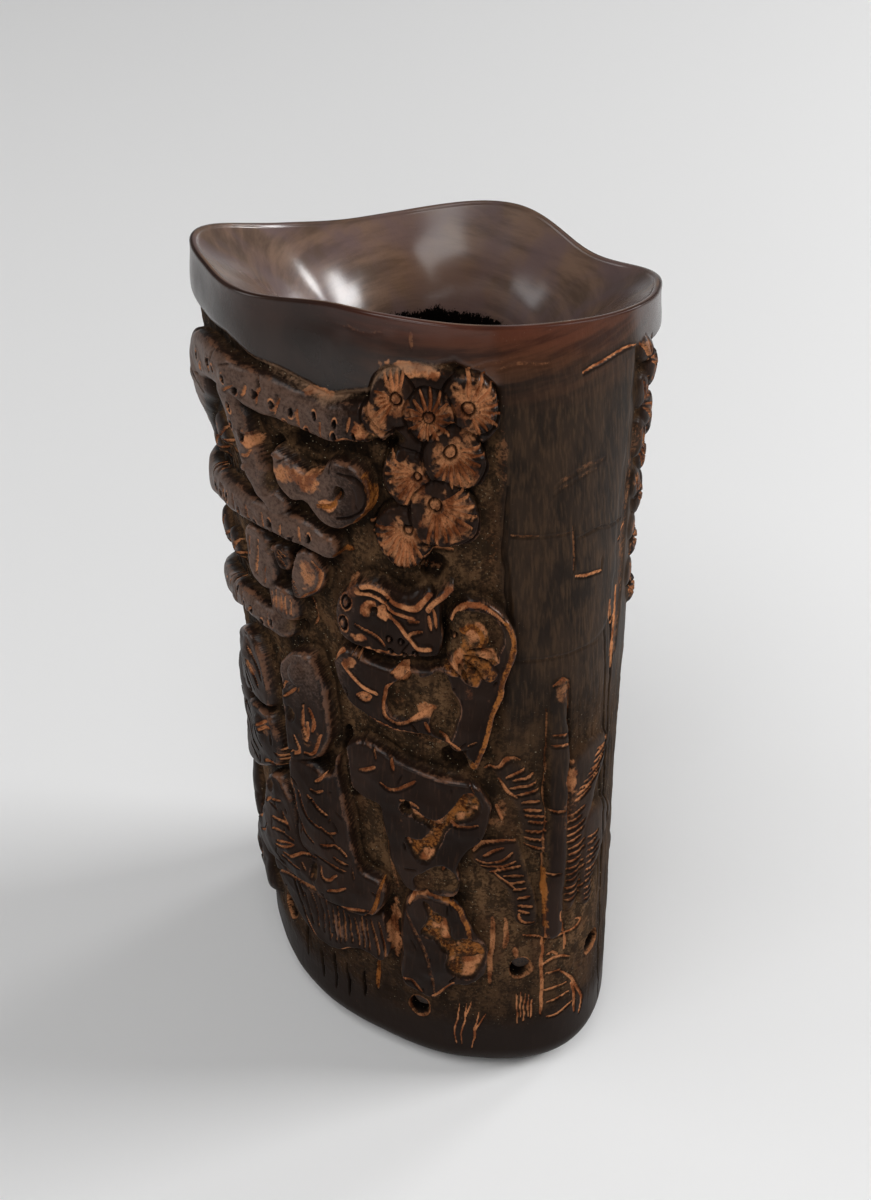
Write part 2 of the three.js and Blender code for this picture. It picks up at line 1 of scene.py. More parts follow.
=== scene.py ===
# Carved horn libation cup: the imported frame, dressed with its fine carving and its finishes.
# Lengths in the dictionaries are millimetres. A place on the wall is given in thousandths:
# of the turn, from the middle of the hidden back, and of the height, from the foot to the lip.
import math
import bpy
import numpy as np
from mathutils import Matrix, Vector


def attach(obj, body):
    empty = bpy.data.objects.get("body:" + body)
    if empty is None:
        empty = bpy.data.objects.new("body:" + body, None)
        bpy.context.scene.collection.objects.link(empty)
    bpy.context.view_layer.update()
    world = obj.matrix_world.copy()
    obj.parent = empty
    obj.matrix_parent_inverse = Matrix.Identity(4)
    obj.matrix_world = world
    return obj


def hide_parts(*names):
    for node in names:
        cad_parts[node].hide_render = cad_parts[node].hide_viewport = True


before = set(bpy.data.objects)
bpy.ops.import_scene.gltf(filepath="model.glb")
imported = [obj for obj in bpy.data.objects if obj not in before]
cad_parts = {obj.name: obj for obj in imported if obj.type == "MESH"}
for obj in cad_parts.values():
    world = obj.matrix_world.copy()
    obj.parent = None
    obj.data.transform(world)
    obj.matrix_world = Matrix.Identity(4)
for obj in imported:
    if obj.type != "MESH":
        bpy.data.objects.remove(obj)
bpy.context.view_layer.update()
print("frame loaded")

mm = 0.001
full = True

cup = {
    "height": 130, "foot": 28, "mouth": 30, "footRounding": 6, "flare": 0.48, "backDegrees": 110,
    "footShares": [1.06, 0.85, 0.83, 0.87, 0.94, 1.01, 1.03, 0.93, 0.89, 0.91, 1.06, 1.22],
    "mouthShares": [0.87, 0.99, 1.09, 1.05, 1.16, 1.2, 1.15, 1.19, 1.18, 1.01, 0.9, 0.74, 0.72, 0.72, 0.74, 0.78],
    "lipShares": [1.01, 0.976, 0.938, 0.952, 0.933, 0.953, 1.008, 1.031, 1.051, 1.059, 1.051, 1.035],
    "footMargin": 5, "lipMargin": 7,
}
bore = {
    "wall": 6, "lip": 1.0, "lipRounding": 0.4, "throatHeight": 110, "throatRadius": 13.5,
    "throatShares": (-0.13, 0.35), "bowlCone": 0.55, "bowlFlare": 2.4, "straightRise": 8,
    "dents": [(0.35, 9, 51), (0.12, 3, 52)], "scrapes": [(0.7, 1.5, 53, 6), (0.5, 1.0, 54)],
    "frayed": [(0.6, 0.8, 55), (0.8, 3, 56)],
}
plug = {"height": 30, "chamfer": 1.2, "fitGap": 0.3, "sealWidth": 2.2, "sealHeight": 1.8}
# each peg stands at a share of the turn and a share of the plug's height
peg = {
    "radius": 1.5, "sink": 1.2, "bite": 4,
    "shares": [(0.309, 0.59), (0.484, 0.476), (0.569, 0.842), (0.632, 0.8),
               (0.76, 0.6), (0.88, 0.45), (0.99, 0.61), (0.17, 0.52)],
}
turnLength = 2 * math.pi * cup["foot"]
backAngle = math.radians(cup["backDegrees"])


# Outline of the horn, outside and in
def curved(a, b, c, d, f):
    # the smooth way from b to c, with their neighbours a and d
    return b + f / 2 * (c - a + f * (2 * a - 5 * b + 4 * c - d + f * (3 * (b - c) + d - a)))


def around(shares, angle):
    count = len(shares)
    step = np.asarray(angle) / (2 * math.pi) % 1 * count
    first = np.floor(step).astype(int)
    return curved(*(np.take(shares, (first + k) % count) for k in (-1, 0, 1, 2)), step - first)


def smoothStep(value, low, high):
    s = np.clip((value - low) / (high - low), 0, 1)
    return s * s * (3 - 2 * s)


def lipHeight(angle):
    return cup["height"] * around(cup["lipShares"], angle)


def groundRadius(angle, share):
    foot = cup["foot"] * around(cup["footShares"], angle)
    mouth = cup["mouth"] * around(cup["mouthShares"], angle)
    blend = share + cup["flare"] * (share**3 - share)
    below = np.clip(1 - share * lipHeight(angle) / cup["footRounding"], 0, 1)
    return foot + (mouth - foot) * blend - cup["footRounding"] * (1 - np.sqrt(1 - below**2))


def throatReach(angle):
    x, y = (share * cup["mouth"] for share in bore["throatShares"])
    along = x * np.cos(angle) + y * np.sin(angle)
    aside = x * np.sin(angle) - y * np.cos(angle)
    return along + np.sqrt(bore["throatRadius"] ** 2 - aside**2)


def boreRadius(angle, height):
    lip = lipHeight(angle)
    bowlShare = np.clip((height - bore["throatHeight"]) / (lip - bore["throatHeight"]), 0, 1)
    mouth = groundRadius(angle, 1.0) - bore["lip"]
    opening = bore["bowlCone"] * bowlShare + (1 - bore["bowlCone"]) * bowlShare ** bore["bowlFlare"]
    bowl = throatReach(angle) + (mouth - throatReach(angle)) * opening
    foot = groundRadius(angle, np.maximum(height, cup["footRounding"]) / lip) - bore["wall"]
    narrowing = smoothStep(height, plug["height"] + bore["straightRise"], bore["throatHeight"])
    low = foot + (throatReach(angle) - foot) * narrowing
    return np.where(height > bore["throatHeight"], bowl, low)


# Seeded unevenness that meets itself at the seam
def uneven(x, y, cell, seed, stretch=1):
    columns = max(4, round(turnLength / cell))
    rows = int(1.3 * cup["height"] / (cell * stretch)) + 8
    knots = np.random.default_rng(seed).random((rows, columns)) - 0.5
    across = x / turnLength * columns
    up = y / (cell * stretch) + 3
    left, low = np.floor(across).astype(int), np.floor(up).astype(int)
    f, g = across - left, up - low
    f, g = f * f * (3 - 2 * f), g * g * (3 - 2 * g)
    low = np.clip(low, 0, rows - 2)
    a, b = knots[low, left % columns], knots[low, (left + 1) % columns]
    c, d = knots[low + 1, left % columns], knots[low + 1, (left + 1) % columns]
    return (a + (b - a) * f) * (1 - g) + (c + (d - c) * f) * g


def rough(x, y, layers):
    # unevenness in layers, each a height, the size of its patches, a seed and, if need be, a stretch
    return sum(height * uneven(x, y, *layer) for height, *layer in layers)


def smoothed(places, closed=False, step=0.5):
    # a line of places with more points on its curve, about step apart
    count = len(places)
    if count < 3 and not closed:
        return places
    line = []
    for k in range(count if closed else count - 1):
        ids = [k - 1, k, k + 1, k + 2]
        ids = [i % count for i in ids] if closed else [min(max(i, 0), count - 1) for i in ids]
        near = [places[i] for i in ids]
        parts = max(2, min(12, int(np.hypot(*(near[2] - near[1])) / step)))
        line += [curved(*near, f) for f in np.arange(parts) / parts]
    line.append(line[0] if closed else places[-1])
    return np.array(line)


def nearest(x, y, line):
    # how far each point is from a line, and how far along the line that is, as a share
    best, along = np.full(x.shape, 1e9), np.zeros(x.shape)
    runs = np.hypot(*np.diff(line, axis=0).T)
    start = np.concatenate(([0], np.cumsum(runs)))
    for k, length in enumerate(runs):
        run = line[k + 1] - line[k]
        f = ((x - line[k, 0]) * run[0] + (y - line[k, 1]) * run[1]) / max(length**2, 1e-9)
        f = np.clip(f, 0, 1)
        far = np.hypot(x - line[k, 0] - f * run[0], y - line[k, 1] - f * run[1])
        closer = far < best
        best[closer] = far[closer]
        along[closer] = (start[k] + f * length)[closer]
    return best, along / max(start[-1], 1e-9)


def isInside(x, y, line):
    inside = np.zeros(x.shape, bool)
    for a, b in zip(line[:-1], line[1:]):
        if a[1] != b[1]:
            crosses = (a[1] > y) != (b[1] > y)
            inside ^= crosses & (x < a[0] + (y - a[1]) / (b[1] - a[1]) * (b[0] - a[0]))
    return inside


def spots(places):
    # places in thousandths of the turn and the height, as millimetres on the unrolled wall
    return np.array(places, float).reshape(-1, 2) / 1000 * (turnLength, cup["height"])


def ovalShare(x, y, centre, across, up, lean):
    # how far each point is from centre, as a share of a leaning oval
    c, s = math.cos(math.radians(lean)), math.sin(math.radians(lean))
    dx, dy = x - centre[0], y - centre[1]
    return np.hypot((dx * c + dy * s) / across, (dy * c - dx * s) / up)


def within(x, rise, fall):
    # 1 over a part of the turn, fading in over rise and out over fall, both in thousandths
    fadeIn, fadeOut = np.array(rise) / 1000 * turnLength, np.array(fall) / 1000 * turnLength
    return smoothStep(x, *fadeIn) * smoothStep(-x, -fadeOut[1], -fadeOut[0])


knife = {"width": 0.82, "depth": 1.1, "stain": 1.1, "blunt": 0.6}


class Relief:
    # The carving over the horn's outline, as sheets of heights, stains and painted shade on the unrolled wall
    def __init__(self, turns, shares):
        self.across, self.up = turns * turnLength, shares * cup["height"]
        x, y = np.meshgrid(self.across, self.up)
        self.x = x + 0.3 * uneven(x, y, 1.7, 11) + 0.5 * uneven(x, y, 5, 12)
        self.y = y + 0.3 * uneven(x, y, 1.7, 13) + 0.5 * uneven(x, y, 5, 14)
        names = ("raised", "bead", "cut", "fine", "ochre", "amber", "dusty", "shade")
        self.sheets = {name: np.zeros(x.shape) for name in names}

    def patches(self, line, reach):
        low, high = line.min(0) - reach - 0.5, line.max(0) + reach + 0.5
        rows = slice(*np.searchsorted(self.up, (low[1], high[1])))
        for lap in (-turnLength, 0, turnLength):
            columns = slice(*np.searchsorted(self.across, (low[0] - lap, high[0] - lap)))
            if rows.stop > rows.start and columns.stop > columns.start:
                here = (rows, columns)
                yield here, self.x[here] + lap, self.y[here]

    def put(self, name, here, value):
        sheet = self.sheets[name]
        sheet[here] = np.maximum(sheet[here], value)

    def ridge(self, line, half, rise, halfEnd=None, base=0, power=2.6, stains=()):
        line = smoothed(line)
        for here, x, y in self.patches(line, half):
            far, along = nearest(x, y, line)
            width = half + ((halfEnd or half) - half) * along
            rounded = np.sqrt(np.clip(1 - (far / width) ** power, 0, 1))
            self.put("raised", here, np.where(far < width, base + rise * rounded, 0))
            for name, strength in stains:
                self.put(name, here, strength * smoothStep(1 - far / width, 0, 0.5))

    def plate(self, line, rise, bevel, dome=0.0, name="raised", stain=0):
        line = smoothed(line, True)
        for here, x, y in self.patches(line, bevel):
            far, _ = nearest(x, y, line)
            inward = np.where(isInside(x, y, line), far, -far)
            s = np.clip((inward + 0.3) / bevel, 0, 1)
            self.put(name, here, rise * np.sqrt(1 - (1 - s) ** 2) + dome * smoothStep(inward, 0, 7))
            if stain:
                broken = 0.5 + 1.2 * uneven(x % turnLength, y, 1.6, 33) + 0.6 * uneven(x % turnLength, y, 0.7, 34)
                filled = stain * smoothStep(inward, -0.3, 0.2)
                self.put("ochre", here, filled * smoothStep(broken, 0.1, 0.9))
                self.put("amber", here, 0.8 * filled * smoothStep(1 - broken, 0.2, 0.8))

    def swell(self, name, centre, across, up, rise, lean=0, power=2):
        for here, x, y in self.patches(centre.reshape(1, 2), max(across, up)):
            reach = ovalShare(x, y, centre, across, up, lean)
            self.put(name, here, rise * np.sqrt(np.clip(1 - reach**power, 0, 1)))

    def stroke(self, line, half, depth, ochre, amber=0, blunt=None, shade=0):
        line = smoothed(line)
        half = half * knife["width"]
        blunt = knife["blunt"] if blunt is None else blunt
        for here, x, y in self.patches(line, 1.6 * half):
            far, along = nearest(x, y, line)
            width = half * (blunt + (1 - blunt) * (1 - np.abs(2 * along - 1) ** 3))
            core = np.clip(1 - (far / width) ** 2, 0, 1)
            self.put("fine", here, knife["depth"] * depth * width / half * core)
            stain = smoothStep(knife["stain"] - far / width, 0, 0.5)
            for name, strength in (("ochre", ochre), ("amber", amber), ("shade", shade)):
                if strength:
                    self.put(name, here, strength * stain)

    def wash(self, name, centre, across, up, strength, lean=0):
        for here, x, y in self.patches(centre.reshape(1, 2), 1.3 * max(across, up)):
            reach = ovalShare(x, y, centre, across, up, lean)
            broken = rough(x % turnLength, y, [(0.6, 1.1, 31), (0.4, 0.45, 32)])
            self.put(name, here, strength * smoothStep(1.15 - reach + broken, 0, 0.6))

    def scar(self, centre, across=0.34, up=0.62, stain=0.85):
        # the oval pit left by a needle tuft, darkened with painted shade, in a swollen worn rim
        self.swell("bead", centre, 1.25, 1.2, 0.15)
        self.swell("fine", centre, across, up, 0.9)
        self.swell("shade", centre, 1.1 * across, 1.1 * up, 1, power=6)
        for here, x, y in self.patches(centre.reshape(1, 2), 2.2 * up):
            reach = np.hypot((x - centre[0]) / across, (y - centre[1]) / up)
            broken = 0.6 + 1.4 * uneven(x % turnLength, y, 0.9, 35)
            self.put("ochre", here, stain * np.clip(broken, 0, 1) * np.exp(-((reach - 1.45) / 0.35) ** 2))

    def ring(self, centre, radius, half, depth, ochre, tall=1, shade=0):
        turn = np.linspace(0, 2 * math.pi, 17)[:, None]
        line = centre + radius * np.hstack((np.cos(turn), tall * np.sin(turn)))
        self.stroke(line, half, depth, ochre, blunt=1, shade=shade)

    def needles(self, centre, ring, degrees, inner, outer, half=0.4, depth=0.6, ochre=0.8):
        self.ring(centre, ring, 0.24, 0.5, 0, shade=1)
        self.wash("ochre", centre, 0.6 * ring, 0.6 * ring, 0.6 * ochre)
        for k, turn in enumerate(degrees):
            way = np.array((math.cos(math.radians(turn)), math.sin(math.radians(turn))))
            reach = 1.1 * outer * (1 + 0.09 * math.sin(5 * k + centre[0]))
            self.stroke(np.array((centre + inner * way, centre + reach * way)), half, depth, ochre)

    def cuts(self, places):
        # hollows: place, half width, half height and depth
        for turn, height, across, up, depth in places:
            self.swell("cut", spots((turn, height))[0], across, up, depth)

    def washes(self, name, places):
        # stains: place, half width, half height, strength and lean in degrees
        for turn, height, *sizes in places:
            self.wash(name, spots((turn, height))[0], *sizes)


def carve(cut, group):
    # the same cut along every line of a group, with the group's sizes
    sizes = {key: value for key, value in group.items() if key != "lines"}
    for line in group["lines"]:
        cut(spots(line), **sizes)


# Rows and columns of the horn's skin; the columns stand closer together at the carved front
grain = {"columns": 820 if full else 400, "wallRows": 740 if full else 360, "bowlRows": 90, "boreRows": 44,
         "lipRows": 7, "footRows": 3, "crowding": 0.4, "lipThinning": 0.5}
columnShares = np.arange(grain["columns"]) / grain["columns"]
turns = columnShares + grain["crowding"] * np.sin(2 * math.pi * columnShares) / (2 * math.pi)
lipShare = bore["lipRounding"] / cup["height"]
shares = np.linspace(0, 1 - lipShare, grain["wallRows"])
relief = Relief(turns, shares)

# The polished band under the lip: its lower edge, where the carved ground starts
band = {
    "slabTurn": ((545, 558), (690, 715)), "scrapedTurn": ((240, 360), (490, 520)),
    "warmTurn": ((400, 520), (660, 740)), "redTurn": ((360, 460), (600, 750)), "stain": 0.3, "scrapedStain": 0.8,
    "rise": 0.9, "edge": 1.3, "line": [
        (0, 930), (60, 938), (120, 930), (190, 937), (250, 940), (300, 945), (310, 940), (330, 930), (360, 922),
        (375, 915), (400, 905), (420, 915), (440, 925), (450, 945), (470, 953), (500, 958), (515, 965), (530, 957),
        (550, 940), (620, 945), (700, 955), (780, 945), (860, 935), (930, 938), (1000, 930),
    ],
}
bandTurns, bandShares = np.array(band["line"]).T / 1000
bandHeight = np.interp(turns, bandTurns, bandShares) * cup["height"]
aboveBand = relief.y - bandHeight[None, :]
bandMask = smoothStep(aboveBand, 0, band["edge"])
relief.sheets["raised"] = band["rise"] * np.sqrt(1 - (1 - np.clip(aboveBand / band["edge"], 0, 1)) ** 2)
slabTurn = within(relief.across, *band["slabTurn"])[None, :]
relief.sheets["ochre"] = band["stain"] * np.exp(-((aboveBand - 0.1) / 0.5) ** 2) * (1 - slabTurn)
scrapedTurn = within(relief.across, *band["scrapedTurn"])[None, :]
relief.sheets["dusty"] = band["scrapedStain"] * np.exp(-((aboveBand - 0.2) / 0.8) ** 2) * scrapedTurn

# Pine: branches with round leaf scars, and needles cut as spokes on small discs
pine = {
    "branchFullness": 4.2, "clusterRise": 1.35, "clusterBevel": 1.0, "discRise": 1.85, "discFullness": 8,
    "discWash": 0.56, "discGroove": {"half": 0.3, "depth": 0.5, "ochre": 0, "shade": 0.3},
    "branches": [
        {"half": 3.5, "end": 3.0, "rise": 2.6, "at": [(200, 830), (225, 865), (248, 890), (270, 902), (300, 905),
            (330, 900), (360, 895), (380, 888), (400, 885), (420, 889), (448, 896)]},
        {"half": 2.6, "end": 1.9, "rise": 2.5, "at": [(303, 885), (308, 870), (315, 845), (325, 820), (335, 790),
            (350, 770)]},
        {"half": 3.2, "end": 2.1, "rise": 2.6, "at": [(170, 700), (220, 715), (250, 730), (280, 742), (320, 750),
            (360, 747), (400, 740)]},
        {"half": 2.7, "end": 2.2, "rise": 2.5, "at": [(140, 530), (190, 560), (250, 590), (280, 607), (300, 614),
            (320, 616), (347, 612)]},
    ],
    "scars": [
        (255.5, 895), (264.5, 888), (280, 905), (292, 905), (310, 904), (322.5, 894.5), (339, 899.5), (355.5, 894),
        (373, 888), (393, 891), (414, 889), (366, 872), (384, 869), (412, 874), (431, 878), (311, 870), (309, 848),
        (323, 842), (262, 735), (276, 739), (290, 745), (311, 743), (330, 738), (346, 748), (366, 735), (384, 745),
        (254, 596), (268, 608), (273, 592), (287, 618), (302, 612), (315, 617), (328, 608), (340, 615),
    ],
    "slashes": {"half": 0.36, "depth": 0.45, "ochre": 0.75, "lines": [
        [(344, 908), (340, 890)], [(362, 903), (357, 882)], [(378, 893), (376, 870)], [(398, 885), (397, 862)],
        [(428, 900), (425, 882)], [(320, 900), (306, 886)], [(357, 750), (355, 735)],
        [(305, 600), (308, 609), (313, 617)], [(320, 820), (326, 822), (330, 830)],
        [(410, 867), (425, 871), (440, 868)], [(330, 905), (328, 893)], [(283, 912), (281, 895)],
        [(300, 756), (301, 737)], [(320, 757), (321, 740)], [(338, 756), (338, 740)], [(373, 753), (375, 738)],
        [(280, 750), (284, 733)], [(279, 615), (281, 598)], [(296, 622), (297, 605)], [(334, 622), (336, 605)],
    ]},
    "cluster": [
        (448, 925), (455, 945), (475, 955), (500, 957), (530, 952), (546, 937), (552, 915), (545, 898), (535, 885),
        (541, 865), (536, 845), (522, 835), (534, 810), (533, 785), (518, 770), (502, 775), (493, 755), (478, 736),
        (463, 740), (452, 760), (455, 785), (466, 802), (461, 820), (468, 838), (460, 852), (467, 872), (474, 882),
        (462, 893), (450, 903),
    ],
    "discs": [
        (452, 905, 2.6), (462, 922, 3.7), (527, 927, 4.1), (493.5, 912, 3.6), (476, 840, 4.3), (514, 868, 4.4),
        (471, 772, 4.6), (506, 806, 4.9),
    ],
    "washes": [
        (530, 937, 3.2, 2.6, 0.62), (527, 900, 1.4, 3.2, 0.5), (462, 920, 2.4, 2.6, 0.5), (522, 858, 3.0, 3.0, 0.5),
        (472, 836, 3.0, 2.6, 0.5), (514, 800, 3.4, 3.6, 0.5), (473, 762, 2.8, 3.8, 0.5), (493.5, 912, 2.8, 2.8, 0.36),
        (553, 870, 1.2, 6.0, 0.34), (546, 770, 1.0, 3.4, 0.36), (490, 735, 2.6, 0.8, 0.4),
    ],
    "needles": [
        (466.5, 926, 0.8, 1.2, 3.1, [172, 188, 203, 218, 235, 78, 95, 112, 128]),
        (493.5, 912, 0.8, 1.1, 3.1, [12 + k * 360 / 14 for k in range(14)]),
        (524.5, 926, 0.9, 1.5, 4.2, [18, 3, -14, -31, -48, -66, 38, 60, 84]),
        (511, 878, 0.8, 1.6, 4.2, [12, -5, -22, -38, -55, -70, -88, -105, -120]),
        (484, 848, 0.6, 1.3, 4.3, [158, 173, 188, 204, 219, 234, 250]),
        (498, 819, 0.9, 1.4, 5.1, [30, 17, 2, -12, -29, -49, -61, -72, -86, -98]),
        (476, 785, 0.7, 1.4, 5.6, [192, 206, 220, 234, 249, 260, 270, 281, 298]),
    ],
}
for branch in pine["branches"]:
    relief.ridge(spots(branch["at"]), branch["half"], branch["rise"], branch["end"], power=pine["branchFullness"])
for place in spots(pine["scars"]):
    relief.scar(place)
carve(relief.stroke, pine["slashes"])
relief.plate(spots(pine["cluster"]), pine["clusterRise"], pine["clusterBevel"])
for turn, height, radius in pine["discs"]:
    # each disc lies over the ones before it
    place = spots((turn, height))[0]
    for here, x, y in relief.patches(place.reshape(1, 2), radius):
        covered = np.hypot(x - place[0], y - place[1]) < radius
        for name in ("fine", "shade"):
            relief.sheets[name][here][covered] = 0
    relief.swell("raised", place, radius, radius, pine["discRise"], power=pine["discFullness"])
    relief.wash("ochre", place, 0.85 * radius, 0.85 * radius, pine["discWash"])
    relief.ring(place, 1.04 * radius, **pine["discGroove"])
relief.washes("ochre", pine["washes"])
for turn, height, ring, inner, outer, degrees in pine["needles"]:
    relief.needles(spots((turn, height))[0], ring, degrees, inner, outer)
print("pine carved")

# Leaves, buds and hollows between the branches on the left
leaves = {
    "bevel": 0.9, "buds": [(327, 810), (345, 717)], "budSize": 0.7, "budRise": 0.8,
    "curlShift": (0.9, 0.2), "curlGroove": {"half": 0.3, "depth": 0.3, "ochre": 0, "shade": 0.7},
    "plates": [
        (2.6, [(347, 836), (360, 832), (370, 824), (385, 820), (395, 824), (402, 838), (415, 846), (430, 845),
            (440, 835), (443, 815), (440, 795), (430, 778), (415, 769), (400, 770), (388, 778), (378, 785),
            (366, 784), (356, 795), (350, 812)]),
        (2.0, [(312, 722), (309, 690), (314, 660), (330, 650), (340, 665), (342, 700), (330, 725)]),
        (2.1, [(367, 720), (385, 722), (392, 700), (389, 680), (378, 665), (365, 660), (360, 680), (363, 700)]),
        (1.9, [(335, 660), (348, 663), (362, 658), (366, 640), (360, 625), (340, 622), (333, 640)]),
        (1.7, [(343, 718), (356, 716), (357, 694), (347, 690), (341, 703)]),
    ],
    "curl": {"half": 0.6, "rise": 0.2, "base": 2.6, "lines": [
        [(410, 834), (424, 836), (434, 825), (435, 805), (424, 788), (410, 783)],
    ]},
    "cuts": [
        (416, 812, 1.0, 1.1, 1.0), (345, 815, 1.3, 4.6, 1.5), (376, 848, 4.2, 1.7, 1.5), (448, 879, 1.3, 1.5, 1.3),
        (460, 872, 1.1, 2.0, 1.5), (362.5, 710, 0.8, 1.6, 1.3), (497, 740, 2.2, 2.4, 1.6), (338, 710, 0.7, 0.8, 1.2),
        (357, 616, 1.7, 1.4, 0.8),
    ],
    "strokes": {"half": 0.32, "depth": 0.5, "ochre": 0.8, "lines": [
        [(325, 700), (322, 670)], [(333, 685), (330, 660)], [(327, 715), (320, 670)],
        [(385, 715), (391, 700), (387, 680), (378, 670), (370, 660)], [(360, 685), (366, 681)],
        [(361, 677), (368, 673)], [(363, 669), (370, 666)], [(338, 655), (337, 634)], [(343, 657), (342, 632)],
        [(349, 657), (349, 632)], [(355, 655), (355, 633)], [(361, 652), (361, 634)],
        [(372, 660), (377, 645), (377, 630), (372, 620)], [(345, 710), (351, 704)], [(346, 704), (353, 697)],
        [(348, 713), (355, 708)], [(316, 712), (313, 690)], [(490, 758), (500, 763), (515, 760)],
    ]},
    "amber": {"half": 0.6, "depth": 0.2, "ochre": 0.3, "amber": 0.8, "lines": [
        [(430, 780), (440, 795), (443, 815), (438, 838)], [(408, 733), (420, 737)],
        [(394, 790), (410, 797), (415, 808)],
    ]},
    "washes": [
        (365, 815, 2.6, 1.7, 0.62), (386, 812, 2.3, 1.9, 0.66), (405, 795, 1.8, 1.0, 0.95, 10),
        (380, 695, 1.6, 2.6, 0.55), (436, 885, 1.5, 1.5, 0.7), (392, 912, 3.2, 0.7, 0.7), (480, 955, 5.5, 0.8, 0.75),
        (327, 840, 0.9, 1.4, 0.8), (350, 640, 2.4, 1.5, 0.4),
    ],
}
for rise, places in leaves["plates"]:
    relief.plate(spots(places), rise, leaves["bevel"])
carve(relief.ridge, leaves["curl"])
for line in leaves["curl"]["lines"]:
    relief.stroke(spots(line) + leaves["curlShift"], **leaves["curlGroove"])
relief.cuts(leaves["cuts"])
for name in ("strokes", "amber"):
    carve(relief.stroke, leaves[name])
relief.washes("ochre", leaves["washes"])
for place in spots(leaves["buds"]):
    relief.swell("bead", place, leaves["budSize"], leaves["budSize"], leaves["budRise"])
print("leaves carved")

